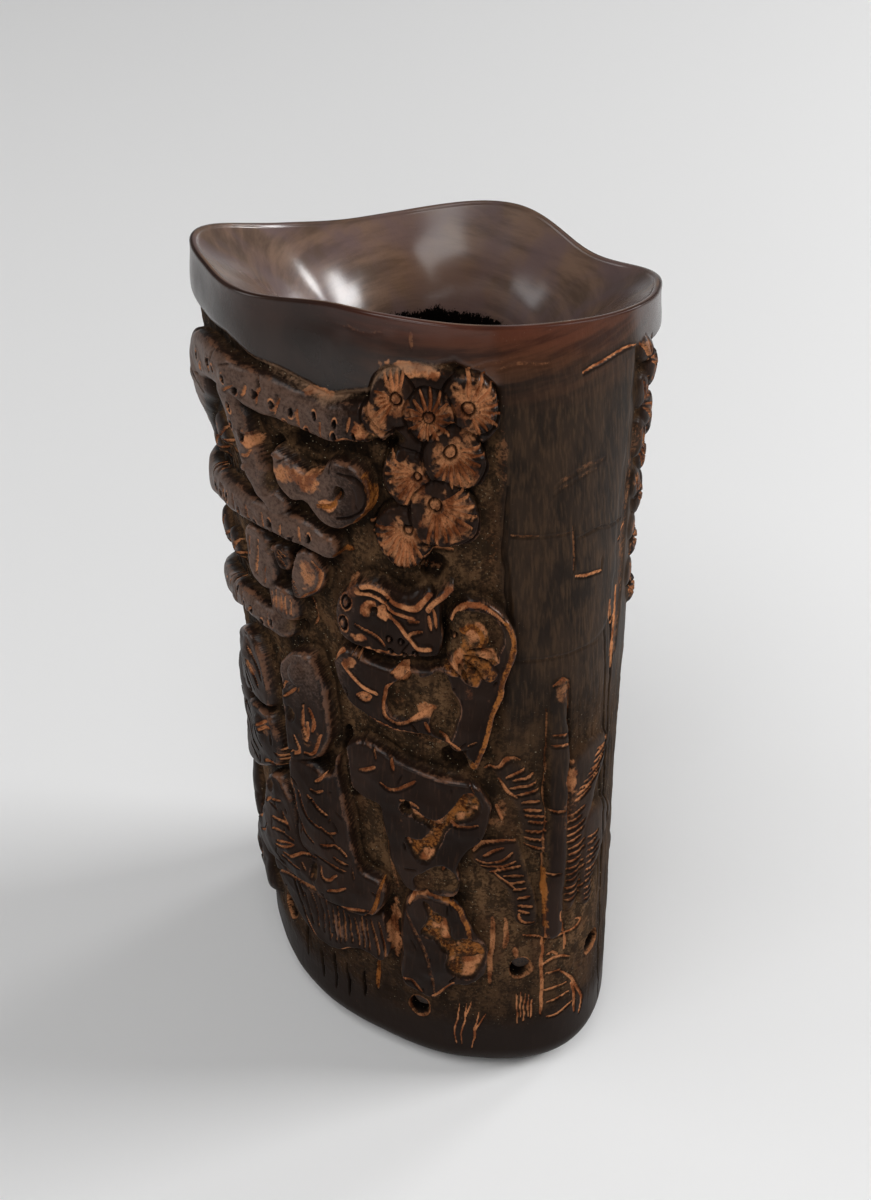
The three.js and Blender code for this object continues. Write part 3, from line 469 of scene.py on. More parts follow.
# The curled forms in the middle, between pine and rocks
curls = {
    "bevel": 0.9, "recessBevel": 0.7, "ribbonBase": 2.1, "ribbonStain": 0.75, "ringBead": (0.5, 0.8, 0.2),
    "ringCuts": [
        {"radius": 0.62, "half": 0.26, "depth": 0.5, "ochre": 0.1, "tall": 1.6, "shade": 0.9},
        {"radius": 1.0, "half": 0.22, "depth": 0.2, "ochre": 0.6, "tall": 1.4},
    ],
    "pearlCut": {"radius": 0.42, "half": 0.24, "depth": 0.5, "ochre": 0, "shade": 1},
    "pearlBead": (0.36, 0.36, 0.35), "pearlStain": (0.22, 0.22, 0.5),
    "plates": [
        (2.1, [(410, 677), (418, 694), (431, 709), (447, 716), (463, 711), (473, 706), (486, 714), (496, 718),
            (502, 710), (502, 687), (505, 660), (500, 643), (482, 637), (460, 628), (437, 628), (416, 633),
            (409, 646)]),
        (2.2, [(405, 601), (416, 617), (428, 620), (445, 614), (462, 613), (480, 617), (497, 622), (510, 630),
            (522, 627), (533, 633), (545, 655), (549, 645), (546, 613), (540, 580), (536, 547), (528, 530),
            (515, 523), (507, 533), (492, 538), (482, 534), (464, 533), (446, 536), (428, 544), (415, 557),
            (407, 577)]),
        (2.2, [(509, 690), (514, 702), (524, 711), (535, 711), (546, 703), (555, 688), (559, 669), (558, 650),
            (550, 606), (545, 580), (540, 550), (535, 523), (530, 500), (523, 510), (524, 545), (527, 575),
            (530, 600), (520, 620), (510, 640), (508, 660)]),
    ],
    "recesses": [
        (1.2, [(478, 612), (490, 612), (506, 622), (511, 605), (516, 580), (512, 550), (506, 537), (497, 550),
            (497, 570), (485, 562), (475, 556), (465, 556), (459, 570), (463, 590)]),
        (1.0, [(512.5, 690), (519, 701), (533, 702), (544, 691), (549, 669), (545, 652), (538, 637), (527, 619),
            (519, 631), (513, 651)]),
    ],
    "ribbons": [
        (0.55, 0.4, [(435, 709), (445, 714), (455, 710), (463, 702), (473, 698), (482, 700), (489, 708), (494, 718)]),
        (0.42, 0.3, [(430, 699), (445, 702), (456, 696), (465, 689), (480, 688)]),
        (0.5, 0.5, [(492, 701), (500, 714), (510, 731)]),
        (0.5, 0.4, [(454, 689), (463, 681), (472, 671), (480, 661), (487, 653), (495, 654)]),
        (0.5, 0.3, [(416, 603), (423, 591), (435, 581), (449, 578)]),
    ],
    "cord": {
        "half": 0.5, "halfEnd": 0.42, "rise": 0.4, "base": 2.2, "stains": [("amber", 0.8), ("ochre", 0.5)],
        "lines": [
            [(552, 690), (556.5, 669), (555.5, 650), (551, 629), (548, 606), (543, 580), (538, 550), (533, 523),
                (528, 501)],
        ],
    },
    "crescent": {
        "half": 0.6, "halfEnd": 0.4, "rise": 0.5, "base": 1.9, "stains": [("amber", 0.8), ("ochre", 0.3)],
        "lines": [
            [(519, 679), (524, 686), (530, 684), (534, 674), (532.5, 662)],
        ],
    },
    "fan": {"rise": 0.7, "bevel": 0.8, "name": "bead", "stain": 0.75, "lines": [
        [(507, 632), (513, 648), (519, 659), (524, 670), (519, 675), (520, 685), (528, 692), (536, 686), (540, 673),
            (538.5, 663), (544, 657), (545.5, 645), (540, 639), (545, 632), (541, 622), (534, 626), (531, 616),
            (523, 619), (518, 626), (512, 625)],
    ]},
    "creases": {"half": 0.34, "depth": 0.5, "ochre": 0, "shade": 0.7, "lines": [
        [(524, 655), (534, 657), (542, 654)], [(522, 648), (532, 645), (541, 640)],
        [(520, 642), (528, 634), (536, 625)], [(517, 637), (521, 628), (524, 619)],
    ]},
    "strokes": {"half": 0.4, "depth": 0.5, "ochre": 0.8, "lines": [
        [(477, 616), (471, 601), (461, 593), (456, 576), (455, 561), (459, 551), (468, 546), (479, 553), (490, 564),
            (497, 574)],
        [(406, 597), (408, 576), (418, 553), (433, 543), (451, 539), (469, 536), (484, 537)],
        [(405, 600), (411, 611), (418, 617)], [(463, 610), (476, 618), (478, 610)],
        [(469, 597), (474, 600), (478, 609)], [(429, 565), (435, 571.5), (443, 570.5), (437, 563.5), (430, 564.5)],
        [(510, 690), (514, 701), (524, 709.5), (535, 709), (544, 700), (551, 690)],
        [(492, 692), (495, 676)], [(496, 700), (499, 680)], [(475, 681), (484, 684)], [(478, 668), (488, 672)],
        [(497, 535), (490, 528), (482, 522)], [(503, 541), (510, 535), (518, 527)], [(492, 556), (495, 545)],
        [(437, 626), (450, 631), (470, 634), (490, 640)], [(430, 655), (445, 650), (456, 641)],
    ]},
    "rings": [(419, 680), (417, 651)],
    "pearls": [(459, 651), (470, 654), (462, 636), (474, 637), (484, 643), (514, 668)],
    "cuts": [
        (509, 668, 0.8, 2.9, 1.9), (517, 502, 2.4, 2.0, 1.5), (445, 682, 0.9, 0.8, 0.8), (457, 690, 0.5, 0.5, 0.6),
    ],
    "amberWashes": [(523, 656, 0.9, 1.8, 0.5), (548, 600, 0.5, 3.0, 0.4)],
    "washes": [
        (425, 699, 2.0, 1.3, 0.5), (443, 689, 1.4, 1.0, 0.8), (455, 682, 1.3, 1.2, 0.8), (437, 678, 1.0, 1.2, 0.7),
        (443, 627, 2.2, 1.0, 0.75), (432, 640, 1.6, 0.9, 0.7, 20), (422, 607, 1.8, 0.8, 0.6, 30),
        (492, 570, 1.6, 1.1, 0.6, 20), (468, 575, 1.4, 2.0, 0.35), (471, 610, 1.1, 0.8, 0.7, 10),
        (525, 600, 0.9, 2.6, 0.4), (436, 567.5, 0.9, 0.5, 0.6), (419, 680, 0.5, 0.9, 0.5), (417, 651, 0.5, 0.9, 0.5),
        (495, 520, 3.0, 0.8, 0.35),
    ],
}
for rise, places in curls["plates"]:
    relief.plate(spots(places), rise, curls["bevel"])
for depth, places in curls["recesses"]:
    relief.plate(spots(places), depth, curls["recessBevel"], name="cut")
for half, rise, places in curls["ribbons"]:
    relief.ridge(spots(places), half, rise, base=curls["ribbonBase"], stains=[("ochre", curls["ribbonStain"])])
for name in ("cord", "crescent"):
    carve(relief.ridge, curls[name])
carve(relief.plate, curls["fan"])
for name in ("creases", "strokes"):
    carve(relief.stroke, curls[name])
for place in spots(curls["rings"]):
    for cut in curls["ringCuts"]:
        relief.ring(place, **cut)
    relief.swell("bead", place, *curls["ringBead"])
for place in spots(curls["pearls"]):
    relief.ring(place, **curls["pearlCut"])
    relief.swell("bead", place, *curls["pearlBead"])
    relief.wash("ochre", place, *curls["pearlStain"])
relief.cuts(curls["cuts"])
relief.washes("amber", curls["amberWashes"])
relief.washes("ochre", curls["washes"])
print("curls carved")

# Rocks down the middle
rocks = {
    "recessBevel": 0.6,
    "plates": {"rise": 2.1, "bevel": 0.9, "dome": 0.5, "lines": [
        [(412, 478), (425, 493), (440, 499), (460, 491), (486, 482), (510, 478), (530, 475), (541, 455), (541, 437),
            (535, 400), (526, 380), (518, 360), (519, 330), (515, 308), (494, 306), (477, 304), (463, 327),
            (457, 360), (452, 394), (450, 420), (435, 420), (420, 430), (412, 450)],
        [(475, 284), (485, 298), (507, 301), (518, 296), (526, 260), (539, 230), (539, 189), (526, 170), (515, 167),
            (499, 139), (485, 144), (470, 154), (468, 200), (470, 250)],
    ]},
    "recesses": [
        (0.8, 0.8, [(479, 432), (487, 425), (496, 423), (503, 428), (510, 440), (516, 453), (522, 464), (529, 464),
            (533, 453), (532, 440), (523, 430), (512, 424), (506, 414), (504, 399), (501, 383), (497, 369),
            (491, 359), (483, 361), (477, 374), (474, 386), (486, 389), (492, 399), (495, 409), (491, 416),
            (482, 420)]),
        (0.9, 0.2, [(486, 309), (482, 325), (489, 341), (496, 350), (504, 355), (511, 350), (516, 336), (518.5, 323),
            (514, 314), (506, 315), (494, 308)]),
        (0.8, 0.75, [(491, 291), (495, 274), (491, 257), (487, 243), (498, 240), (505, 227), (511, 220), (510, 200),
            (518, 186), (529, 185), (536, 203), (539, 221), (534, 236), (525, 243), (515, 240), (510, 250),
            (508, 266), (505, 275), (499, 274), (496, 284)]),
    ],
    "strokes": {"half": 0.42, "depth": 0.5, "ochre": 0.75, "lines": [
        [(431, 462), (437, 466), (446, 474)], [(452, 457), (460, 452), (475, 462), (482, 470)],
        [(461, 489), (463, 477)], [(469, 441), (478, 440), (484, 436)],
        [(491, 134), (500, 146), (508, 159), (515, 173)], [(469, 156), (478, 163), (487, 148)],
        [(477, 284), (485, 299), (507, 301)], [(508, 424), (520, 419), (530, 421)], [(505, 345), (508, 355)],
        [(548, 440), (552, 420)],
    ]},
    "faint": {"half": 0.5, "depth": 0.15, "ochre": 0.4, "lines": [
        [(471, 276), (481, 240), (490, 214), (495, 184), (498, 149)], [(455, 360), (458, 320), (464, 290)],
    ]},
    "amber": {"half": 0.5, "depth": 0.3, "ochre": 0.4, "amber": 0.9, "lines": [
        [(507, 301), (514, 299), (518, 290), (522, 269), (528, 243)],
    ]},
    "cuts": [
        (474, 430, 0.9, 1.3, 1.4), (513, 335, 0.9, 2.0, 0.9), (527, 450, 1.0, 1.1, 0.6), (500, 276, 0.7, 0.7, 0.9),
        (536, 222, 0.8, 1.8, 0.9), (457, 240, 0.9, 3.0, 0.6),
    ],
    "washes": [
        (460, 220, 1.2, 7.0, 0.6), (470, 410, 1.2, 2.6, 0.25), (553, 435, 0.8, 2.2, 0.45), (548, 415, 1.4, 1.0, 0.35),
        (450, 370, 1.0, 4.0, 0.3),
    ],
}
carve(relief.plate, rocks["plates"])
for depth, stain, places in rocks["recesses"]:
    relief.plate(spots(places), depth, rocks["recessBevel"], name="cut", stain=stain)
for name in ("strokes", "faint", "amber"):
    carve(relief.stroke, rocks[name])
relief.cuts(rocks["cuts"])
relief.washes("ochre", rocks["washes"])
print("rocks carved")

# Figures in folded robes on the lower left, their heads no more than plain swellings
figures = {
    "bevel": 0.9, "dome": 0.5, "headRise": 0.5, "slotHalf": 0.9, "slotDepth": 1.7,
    "hemCut": {"half": 0.34, "depth": 0.7, "ochre": 0.62}, "hemBow": 1.2,
    "plates": [
        (2.5, [(346.5, 560), (350, 572), (358, 584), (370, 590), (381, 585), (390, 560), (395, 510), (397, 485),
            (390, 460), (380, 445), (360, 430), (350, 440), (349, 490), (347.5, 520)]),
        (2.3, [(262, 400), (258, 355), (280, 350), (300, 365), (312, 380), (328, 395), (335, 420), (330, 450),
            (320, 465), (300, 460), (280, 450), (270, 430)]),
        (2.1, [(262, 470), (280, 462), (302, 472), (320, 478), (325, 500), (318, 535), (310, 556), (292, 566),
            (272, 550), (260, 520)]),
        (2.6, [(352, 430), (372, 436), (392, 430), (402, 440), (404, 460), (406, 440), (412, 410), (420, 340),
            (430, 310), (450, 300), (455, 285), (445, 250), (430, 236), (400, 234), (378, 242), (370, 290),
            (360, 302), (356, 340), (353, 370), (351, 400)]),
        (2.4, [(258, 215), (270, 250), (285, 280), (300, 310), (306, 340), (315, 370), (330, 378), (345, 360),
            (352, 330), (360, 302), (372, 290), (380, 250), (370, 240), (330, 232), (300, 222)]),
        (1.6, [(300, 215), (330, 222), (360, 228), (400, 228), (430, 236), (452, 245), (457, 200), (448, 166),
            (427, 169), (411, 159), (395, 146), (376, 141), (360, 152), (340, 170), (315, 190)]),
    ],
    "folds": {"half": 0.36, "depth": 0.6, "ochre": 0.95, "lines": [
        [(354, 400), (356, 375), (358, 355), (363, 338), (370, 328), (380, 323)],
        [(362, 388), (365, 372), (370, 360), (376, 355), (388, 351)], [(374, 388), (385, 380), (398, 374)],
        [(378, 401), (385, 401), (393, 409)], [(383, 416), (388, 422), (392, 430)],
        [(390, 352), (398, 348), (406, 353)], [(400, 331), (407, 331), (415, 325)],
        [(402, 316), (408, 312), (417, 311)], [(389, 327), (395, 327), (400, 330)],
        [(380, 300), (390, 302), (414, 300)], [(385, 285), (389, 271), (396, 273), (405, 288)],
        [(395, 255), (405, 263), (415, 275)], [(320, 333), (328, 340), (333, 343)], [(308, 320), (318, 335)],
        [(320, 308), (330, 314), (342, 315)], [(335, 330), (337, 322), (345, 312)],
        [(320, 288), (330, 297), (340, 299), (350, 297)], [(325, 272), (335, 280), (348, 290)],
        [(322, 263), (335, 270), (345, 280), (350, 290)],
        [(335, 262), (350, 268), (360, 285), (370, 290), (380, 293)], [(330, 252), (345, 256), (360, 260)],
        [(335, 425), (348, 436), (360, 445)], [(304, 437), (312, 449), (320, 458)],
        [(308, 435), (318, 447), (325, 450)], [(330, 418), (340, 412), (345, 402)], [(333, 410), (338, 404)],
        [(310, 385), (320, 394), (330, 392)], [(270, 420), (285, 400), (300, 392)],
        [(268, 400), (282, 382), (296, 375)], [(275, 440), (295, 420), (310, 410)],
        [(280, 520), (290, 500), (300, 485)], [(288, 535), (300, 515), (310, 497)],
        [(298, 548), (308, 530), (315, 512)], [(274, 505), (284, 487), (292, 475)],
        [(268, 250), (280, 262), (292, 285)], [(280, 240), (295, 255), (308, 280)],
        [(350, 530), (353, 540), (357, 545)], [(351, 520), (360, 530), (367, 543)],
    ]},
    "bright": {"half": 0.42, "depth": 0.6, "ochre": 1.1, "lines": [
        [(372, 520), (370, 500), (373, 480)], [(378, 520), (382, 500), (380, 490)], [(376, 500), (374, 470)],
        [(390, 490), (380, 455), (370, 450)], [(360, 470), (365, 450), (360, 440)],
        [(346.5, 560), (347.5, 510), (350, 490)], [(400, 235), (415, 240), (432, 247)],
    ]},
    "amber": {"half": 0.55, "depth": 0.4, "ochre": 0.4, "amber": 0.9, "lines": [
        [(430, 232), (440, 250), (446, 275), (451, 300)], [(441, 157), (440.5, 130), (440, 100)],
    ]},
    "border": {"half": 0.42, "depth": 0.5, "ochre": 0.6, "lines": [
        [(280, 180), (293, 190), (327, 214), (350, 223), (379, 231), (404, 237), (436, 250)],
    ]},
    "hem": [
        (356, 213, 367, 169), (366, 221, 375, 170), (376, 223, 382, 167), (384, 227, 388, 158), (392, 223, 396, 164),
        (399, 223, 401, 166), (406, 223, 407, 170), (412, 221, 415, 176), (419, 221, 423, 177), (426, 227, 429, 176),
        (432, 226, 435, 177), (438, 230, 445, 176), (446, 233, 451, 175), (335, 220, 347, 200), (346, 200, 357, 174),
        (345, 220, 354, 205),
    ],
    "crest": {"half": 0.3, "depth": 0.2, "ochre": 0.7, "lines": [
        [(357, 174), (366, 155), (376, 142), (395, 147), (411, 160), (427, 170), (445, 167)],
    ]},
    "slot": [(411, 496), (414, 457), (420, 412)],
    "grooves": {"half": 0.35, "depth": 0.7, "ochre": 0, "shade": 0.8, "lines": [
        [(385, 120), (385, 60)], [(403, 120), (403, 60)], [(340, 160), (340, 80)], [(424, 120), (423, 75)],
        [(365, 110), (366, 65)],
    ]},
    "cuts": [
        (357, 500, 0.9, 1.5, 0.8), (337, 510, 1.3, 4.6, 1.5), (300, 468, 3.2, 0.9, 0.9), (318, 357, 1.0, 1.4, 0.8),
        (377, 270, 0.9, 2.0, 0.9), (411, 470, 1.0, 2.4, 1.2),
    ],
    "heads": [(368, 563, 1.6, 2.0), (292, 540, 1.7, 2.0), (306, 440, 1.5, 1.6)],
    "washes": [
        (300, 515, 1.6, 1.9, 0.5), (376, 480, 2.0, 4.0, 0.35), (330, 280, 4.0, 3.0, 0.2), (315, 445, 2.0, 1.6, 0.35),
    ],
}
for rise, places in figures["plates"]:
    relief.plate(spots(places), rise, figures["bevel"], figures["dome"])
for name in ("folds", "bright", "amber", "border", "crest", "grooves"):
    carve(relief.stroke, figures[name])
for startTurn, startShare, endTurn, endShare in figures["hem"]:
    bow = (0.5 * (startTurn + endTurn) + figures["hemBow"], 0.5 * (startShare + endShare))
    relief.stroke(spots([(startTurn, startShare), bow, (endTurn, endShare)]), **figures["hemCut"])
for here, x, y in relief.patches(spots(figures["slot"]), figures["slotHalf"]):
    far, _ = nearest(x, y, spots(figures["slot"]))
    relief.put("cut", here, figures["slotDepth"] * np.sqrt(np.clip(1 - (far / figures["slotHalf"]) ** 2, 0, 1)))
relief.cuts(figures["cuts"])
for turn, height, across, up in figures["heads"]:
    relief.swell("bead", spots((turn, height))[0], across, up, figures["headRise"])
relief.washes("ochre", figures["washes"])
print("figures carved")

# The smooth slab on the right, and bamboo with leaves in front of it
bamboo = {
    "lowSlabRise": 0.8, "combCut": {"half": 0.36, "depth": 0.55, "ochre": 0.9}, "combBow": 1.2, "stripDepth": 0.25,
    "slab": {"rise": 0.9, "bevel": 1.5, "lines": [
        [(561, 930), (559, 863), (558, 786), (558, 700), (560, 645), (580, 634), (620, 632), (650, 645), (664, 700),
            (672, 780), (690, 870), (700, 955), (700, 1020), (580, 1020), (562, 970)],
    ]},
    "marks": [
        (0.3, 0.3, 0.9, [(630, 951), (649, 957), (673, 961), (700, 960)]),
        (0.28, 0.2, 0.5, [(560, 786), (572, 784), (582, 784)]),
        (0.22, 0.1, 0.3, [(582, 784), (600, 782), (615, 781)]),
        (0.3, 0.2, 0.45, [(612, 787), (612, 770), (611, 734)]),
        (0.34, 0.25, 0.85, [(613, 727), (626, 721), (640, 719)]), (0.25, 0.15, 0.3, [(640, 719), (641, 735)]),
        (0.3, 0.2, 0.2, [(615, 771), (640, 771), (674, 764)]),
        (0.6, 0.06, 0.32, [(598, 835), (610, 843), (625, 847), (651, 850)]),
        (0.4, 0.05, 0.3, [(595, 828), (610, 835), (640, 842)]),
        (0.4, 0.05, 0.28, [(502, 957), (536, 966), (571, 973)]),
        (0.35, 0.05, 0.35, [(550, 962), (570, 966), (600, 964)]), (0.55, 0.05, 0.45, [(476, 990), (477, 974)]),
        (0.4, 0.05, 0.3, [(400, 985), (430, 982), (450, 984)]),
        (0.3, 0.1, 0.25, [(549, 639), (570, 638), (600, 637), (636, 633)]),
    ],
    "borders": [
        (0.6, 0.5, 0.3, [(557.5, 660), (557, 700), (556.5, 786), (558, 840)]),
        (0.35, 0.35, 0.5, [(652, 660), (655, 533), (650, 390), (649, 229), (651, 46)]),
        (0.28, 0.25, 0.3, [(643, 640), (646, 533), (642, 390), (641, 250)]),
    ],
    "stalk": {"half": 1.5, "rise": 1.1, "lines": [[(595, 600), (596, 500), (595, 400), (591, 300), (589, 240)]]},
    "stalkEdges": {"half": 0.3, "depth": 0.5, "ochre": 0.55, "blunt": 0.7, "lines": [
        [(585, 570), (586, 500), (584, 420), (583, 360), (584, 300), (584, 240)],
        [(604.5, 600), (604, 520), (603, 460), (601, 400)],
    ]},
    "nodes": {"half": 0.32, "depth": 0.4, "ochre": 0.75, "lines": [
        [(590, 532), (604, 529)], [(589, 519), (605, 516)], [(588, 430), (599, 426)],
        [(590, 600), (598, 606), (604, 600)], [(585, 335), (594, 332)],
    ]},
    "blades": {"rise": 0.9, "bevel": 1.5, "lines": [
        [(546, 495), (562, 505), (575, 480), (584, 430), (587, 370), (572, 385), (560, 450)],
        [(530, 360), (540, 387), (562, 393), (570, 350), (577, 300), (578, 262), (563, 270), (552, 325)],
        [(602, 440), (605, 490), (630, 502), (650, 485), (632, 430), (618, 360), (609, 280), (600, 280)],
        [(616, 390), (640, 400), (660, 372), (645, 340), (630, 300), (625, 262), (614, 280)],
    ]},
    "veins": {"half": 0.36, "depth": 0.5, "ochre": 0.9, "lines": [
        [(555, 483), (569, 494)], [(560, 479), (576, 483)], [(558, 468), (578, 473)], [(562, 458), (580, 463)],
        [(566, 448), (580, 447)], [(567, 438), (580, 434)], [(568, 430), (582, 424)], [(571, 420), (585, 413)],
        [(570, 406), (585, 400)], [(570, 396), (584, 388)], [(571, 382), (583, 374)],
        [(538, 368), (545, 376), (553, 382)], [(533, 361), (540, 357), (550, 362), (560, 375)],
        [(536, 352), (548, 352), (562, 362)], [(542, 342), (553, 350), (565, 354)], [(554, 339), (567, 339)],
        [(556, 327), (569, 330)], [(560, 316), (570, 318)], [(563, 303), (573, 304)], [(563, 292), (574, 290)],
        [(564, 285), (573, 280)], [(565, 280), (568, 268), (577, 265)],
    ]},
    "combs": [
        {"from": (603, 414), "to": (600, 283), "way": (14, 4), "count": 14},
        {"from": (621, 366), "to": (618, 271), "way": (12.5, 0), "count": 11},
        {"from": (608, 434), "to": (633, 485), "way": (16, 6), "count": 9},
    ],
    "outlines": {"half": 0.34, "depth": 0.35, "ochre": 0.7, "lines": [
        [(540, 490), (549, 495), (555, 504), (562, 507), (567, 504)], [(550, 480), (556, 465), (562, 455)],
        [(531, 372), (538, 385), (550, 391), (562, 392)], [(545, 343), (556, 328), (562, 318)],
    ]},
    "sign": {"half": 0.36, "depth": 0.3, "ochre": 0.85, "lines": [
        [(569, 238), (580, 233), (590, 228), (600, 226.5), (615, 228), (619, 235), (613, 240)],
        [(601, 225), (602, 200)], [(598, 250), (600, 230)], [(595, 270), (596, 255)],
        [(584, 240), (584.5, 170), (584, 100)], [(588, 170), (600, 168)], [(586, 141), (606, 141)],
        [(588, 118), (607, 122)], [(589, 93), (595, 92), (610, 102)],
        [(600, 165), (610, 145), (615, 120), (622, 95), (620, 70)], [(610, 135), (613, 100), (615, 80)],
        [(588, 200), (592, 203), (596, 195)], [(585, 185), (592, 193), (600, 190), (607, 183)],
    ]},
    "brushed": {"half": 0.6, "depth": 0.1, "ochre": 0.6, "lines": [
        [(545, 270), (547, 240), (545, 200), (546, 160)], [(555, 268), (557, 240), (556, 220)],
        [(563, 220), (565, 205)],
    ]},
    "scratches": {"half": 0.2, "depth": 0.14, "ochre": 0.75, "lines": [
        [(519, 120), (517, 50)], [(529, 125), (524, 95)], [(525, 120), (522, 50)], [(541, 110), (534, 80), (530, 45)],
        [(535, 110), (531, 60)], [(566, 140), (566.5, 90)], [(569, 142), (569, 100)], [(572, 140), (571.5, 92)],
        [(574.5, 138), (575, 100)], [(577, 130), (577, 96)],
    ]},
    "strip": [
        (1.5, 0.34, [(662, 600), (672, 680), (684, 780), (700, 860)]),
        (0.7, 0.75, [(655, 580), (658, 620), (664, 680)]), (0.3, 0.9, [(652, 600), (660, 612)]),
        (0.3, 0.9, [(653, 640), (662, 655)]), (0.3, 0.8, [(668, 740), (682, 750)]),
    ],
    "washes": [
        (606, 465, 1.0, 3.4, 0.6), (598, 592, 1.3, 2.2, 0.45), (606, 430, 1.6, 4.0, 0.34, -20),
        (651, 660, 0.5, 3.0, 0.6),
    ],
    "amberWashes": [(584, 300, 0.32, 7.5, 0.8), (585, 230, 0.4, 3.0, 0.5)],
}
for name in ("slab", "blades"):
    carve(relief.plate, bamboo[name])
for half, depth, ochre, line in bamboo["marks"]:
    relief.stroke(spots(line), half, depth, ochre)
for half, depth, shade, line in bamboo["borders"]:
    relief.stroke(spots(line), half, depth, 0, shade=shade)
lowSlab = smoothStep(relief.y, 0.44 * cup["height"], 0.63 * cup["height"]) * slabTurn
relief.sheets["raised"] = np.maximum(relief.sheets["raised"], bamboo["lowSlabRise"] * lowSlab)
carve(relief.ridge, bamboo["stalk"])
for name in ("stalkEdges", "nodes", "veins", "outlines", "sign", "brushed", "scratches"):
    carve(relief.stroke, bamboo[name])
for comb in bamboo["combs"]:
    first, last, way = (np.array(comb[key]) for key in ("from", "to", "way"))
    for k in range(comb["count"]):
        start = first + (last - first) * k / (comb["count"] - 1)
        bow = bamboo["combBow"] * math.sin(2.1 * k)
        reach = way * (1 + 0.18 * math.sin(4.3 * k))
        middle = start + 0.5 * reach + (0, bow - 2)
        relief.stroke(spots([start, middle, start + reach]), **bamboo["combCut"])
for half, ochre, line in bamboo["strip"]:
    relief.stroke(spots(line), half, bamboo["stripDepth"], ochre)
relief.washes("ochre", bamboo["washes"])
relief.washes("amber", bamboo["amberWashes"])
print("bamboo carved")

# The back, which the photograph doesn't show, in the manner of the front
hidden = {
    "branchRise": 2.7, "scarStep": 3.0, "trunkScars": {1.6: 3.1, -1.8: 3.4}, "trunkScarHalf": 2.2,
    "fanHalf": 3.9, "fanRise": 1.8, "fanSpokes": 13,
    "fanNeedles": {"ring": 0.8, "inner": 1.2, "outer": 3.5, "half": 0.32},
    "clumpForm": (2.6, 3.3, 1.6), "clumpStain": (1.6, 2.2, 0.45), "clumpSizes": (0.75, 1.05),
    "clumpNeedles": {"ring": 0.4, "inner": 1.0, "outer": 3.6, "half": 0.3},
    "rockForm": (5.4, 6.4, 2.1), "lobeHalf": 3.4, "lobeRise": 2.0,
    "hollow": (1.5, 2.6, 1.0), "hollowStain": (1.0, 1.6, 0.6),
    "stalkHalf": 1.6, "stalkRise": 1.2, "stalkNodes": 5, "bladeForm": {"rise": 0.9, "bevel": 1.4, "dome": 0.25},
    "rungStep": 1.7, "pitForm": (2.4, 2.4, 1.3),
    "veinCut": {"half": 0.4, "depth": 0.5, "ochre": 0.6}, "nodeCut": {"half": 0.32, "depth": 0.4, "ochre": 0.75},
    "rungCut": {"half": 0.36, "depth": 0.45, "ochre": 0.85},
    "trunk": {
        "half": 5.2, "rise": 2.9,
        "at": [(110, 30), (125, 200), (100, 360), (115, 520), (150, 660), (185, 790), (225, 860)],
    },
    "branches": [
        (3.4, 2.4, [(115, 500), (60, 580), (10, 620), (-50, 690), (-100, 720)]),
        (2.4, 1.6, [(170, 760), (110, 830), (50, 860), (-20, 880)]),
    ],
    "fans": [
        (30, 800), (-15, 790), (-60, 800), (-50, 850), (75, 740), (25, 710), (-120, 790), (-145, 740), (-105, 655),
        (145, 885), (85, 900),
    ],
    "clumps": [
        (262, 660), (225, 650), (262, 810), (240, 780), (716, 950), (729, 920), (711, 900), (725, 870), (707, 845),
        (719, 815), (702, 790), (713, 765), (698, 735), (708, 710), (693, 680), (704, 650), (745, 760), (750, 840),
    ],
    "rocks": [
        (245, 160), (215, 240), (225, 420), (200, 330), (190, 130), (45, 140), (0, 240), (-45, 130), (60, 280),
        (-80, 250), (-130, 160), (775, 300), (760, 200), (0, 420), (-60, 420), (45, 440),
    ],
    "stalks": [[(810, 900), (805, 700), (810, 500), (805, 270)], [(855, 840), (860, 620), (855, 420), (860, 240)]],
    "blades": [
        [(765, 560), (787, 550), (800, 440), (796, 380), (780, 440)],
        [(815, 780), (837, 770), (850, 670), (846, 600), (830, 660)],
        [(870, 560), (892, 570), (905, 480), (893, 410), (880, 480)],
    ],
    "pits": [(-20, 500), (740, 500)],
}
chance = np.random.default_rng(5)


def scarred(line, half, step):
    # leaf scars and notches along a branch
    line = smoothed(line)
    runs = np.concatenate(([0], np.cumsum(np.hypot(*np.diff(line, axis=0).T))))
    for k, far in enumerate(np.arange(step, runs[-1] - step / 2, step)):
        place = np.array([np.interp(far, runs, line[:, i]) for i in (0, 1)])
        ahead = np.array([np.interp(far + 0.5, runs, line[:, i]) for i in (0, 1)]) - place
        aside = np.array((-ahead[1], ahead[0])) / np.hypot(*ahead)
        scar = place + aside * half * chance.uniform(-0.5, 0.5)
        relief.scar(scar)
        if k % 2:
            notch = place + ahead * step
            notchLine = np.array((notch - aside * half * 0.75, notch + aside * half * 0.3))
            relief.stroke(notchLine, **hidden["veinCut"])


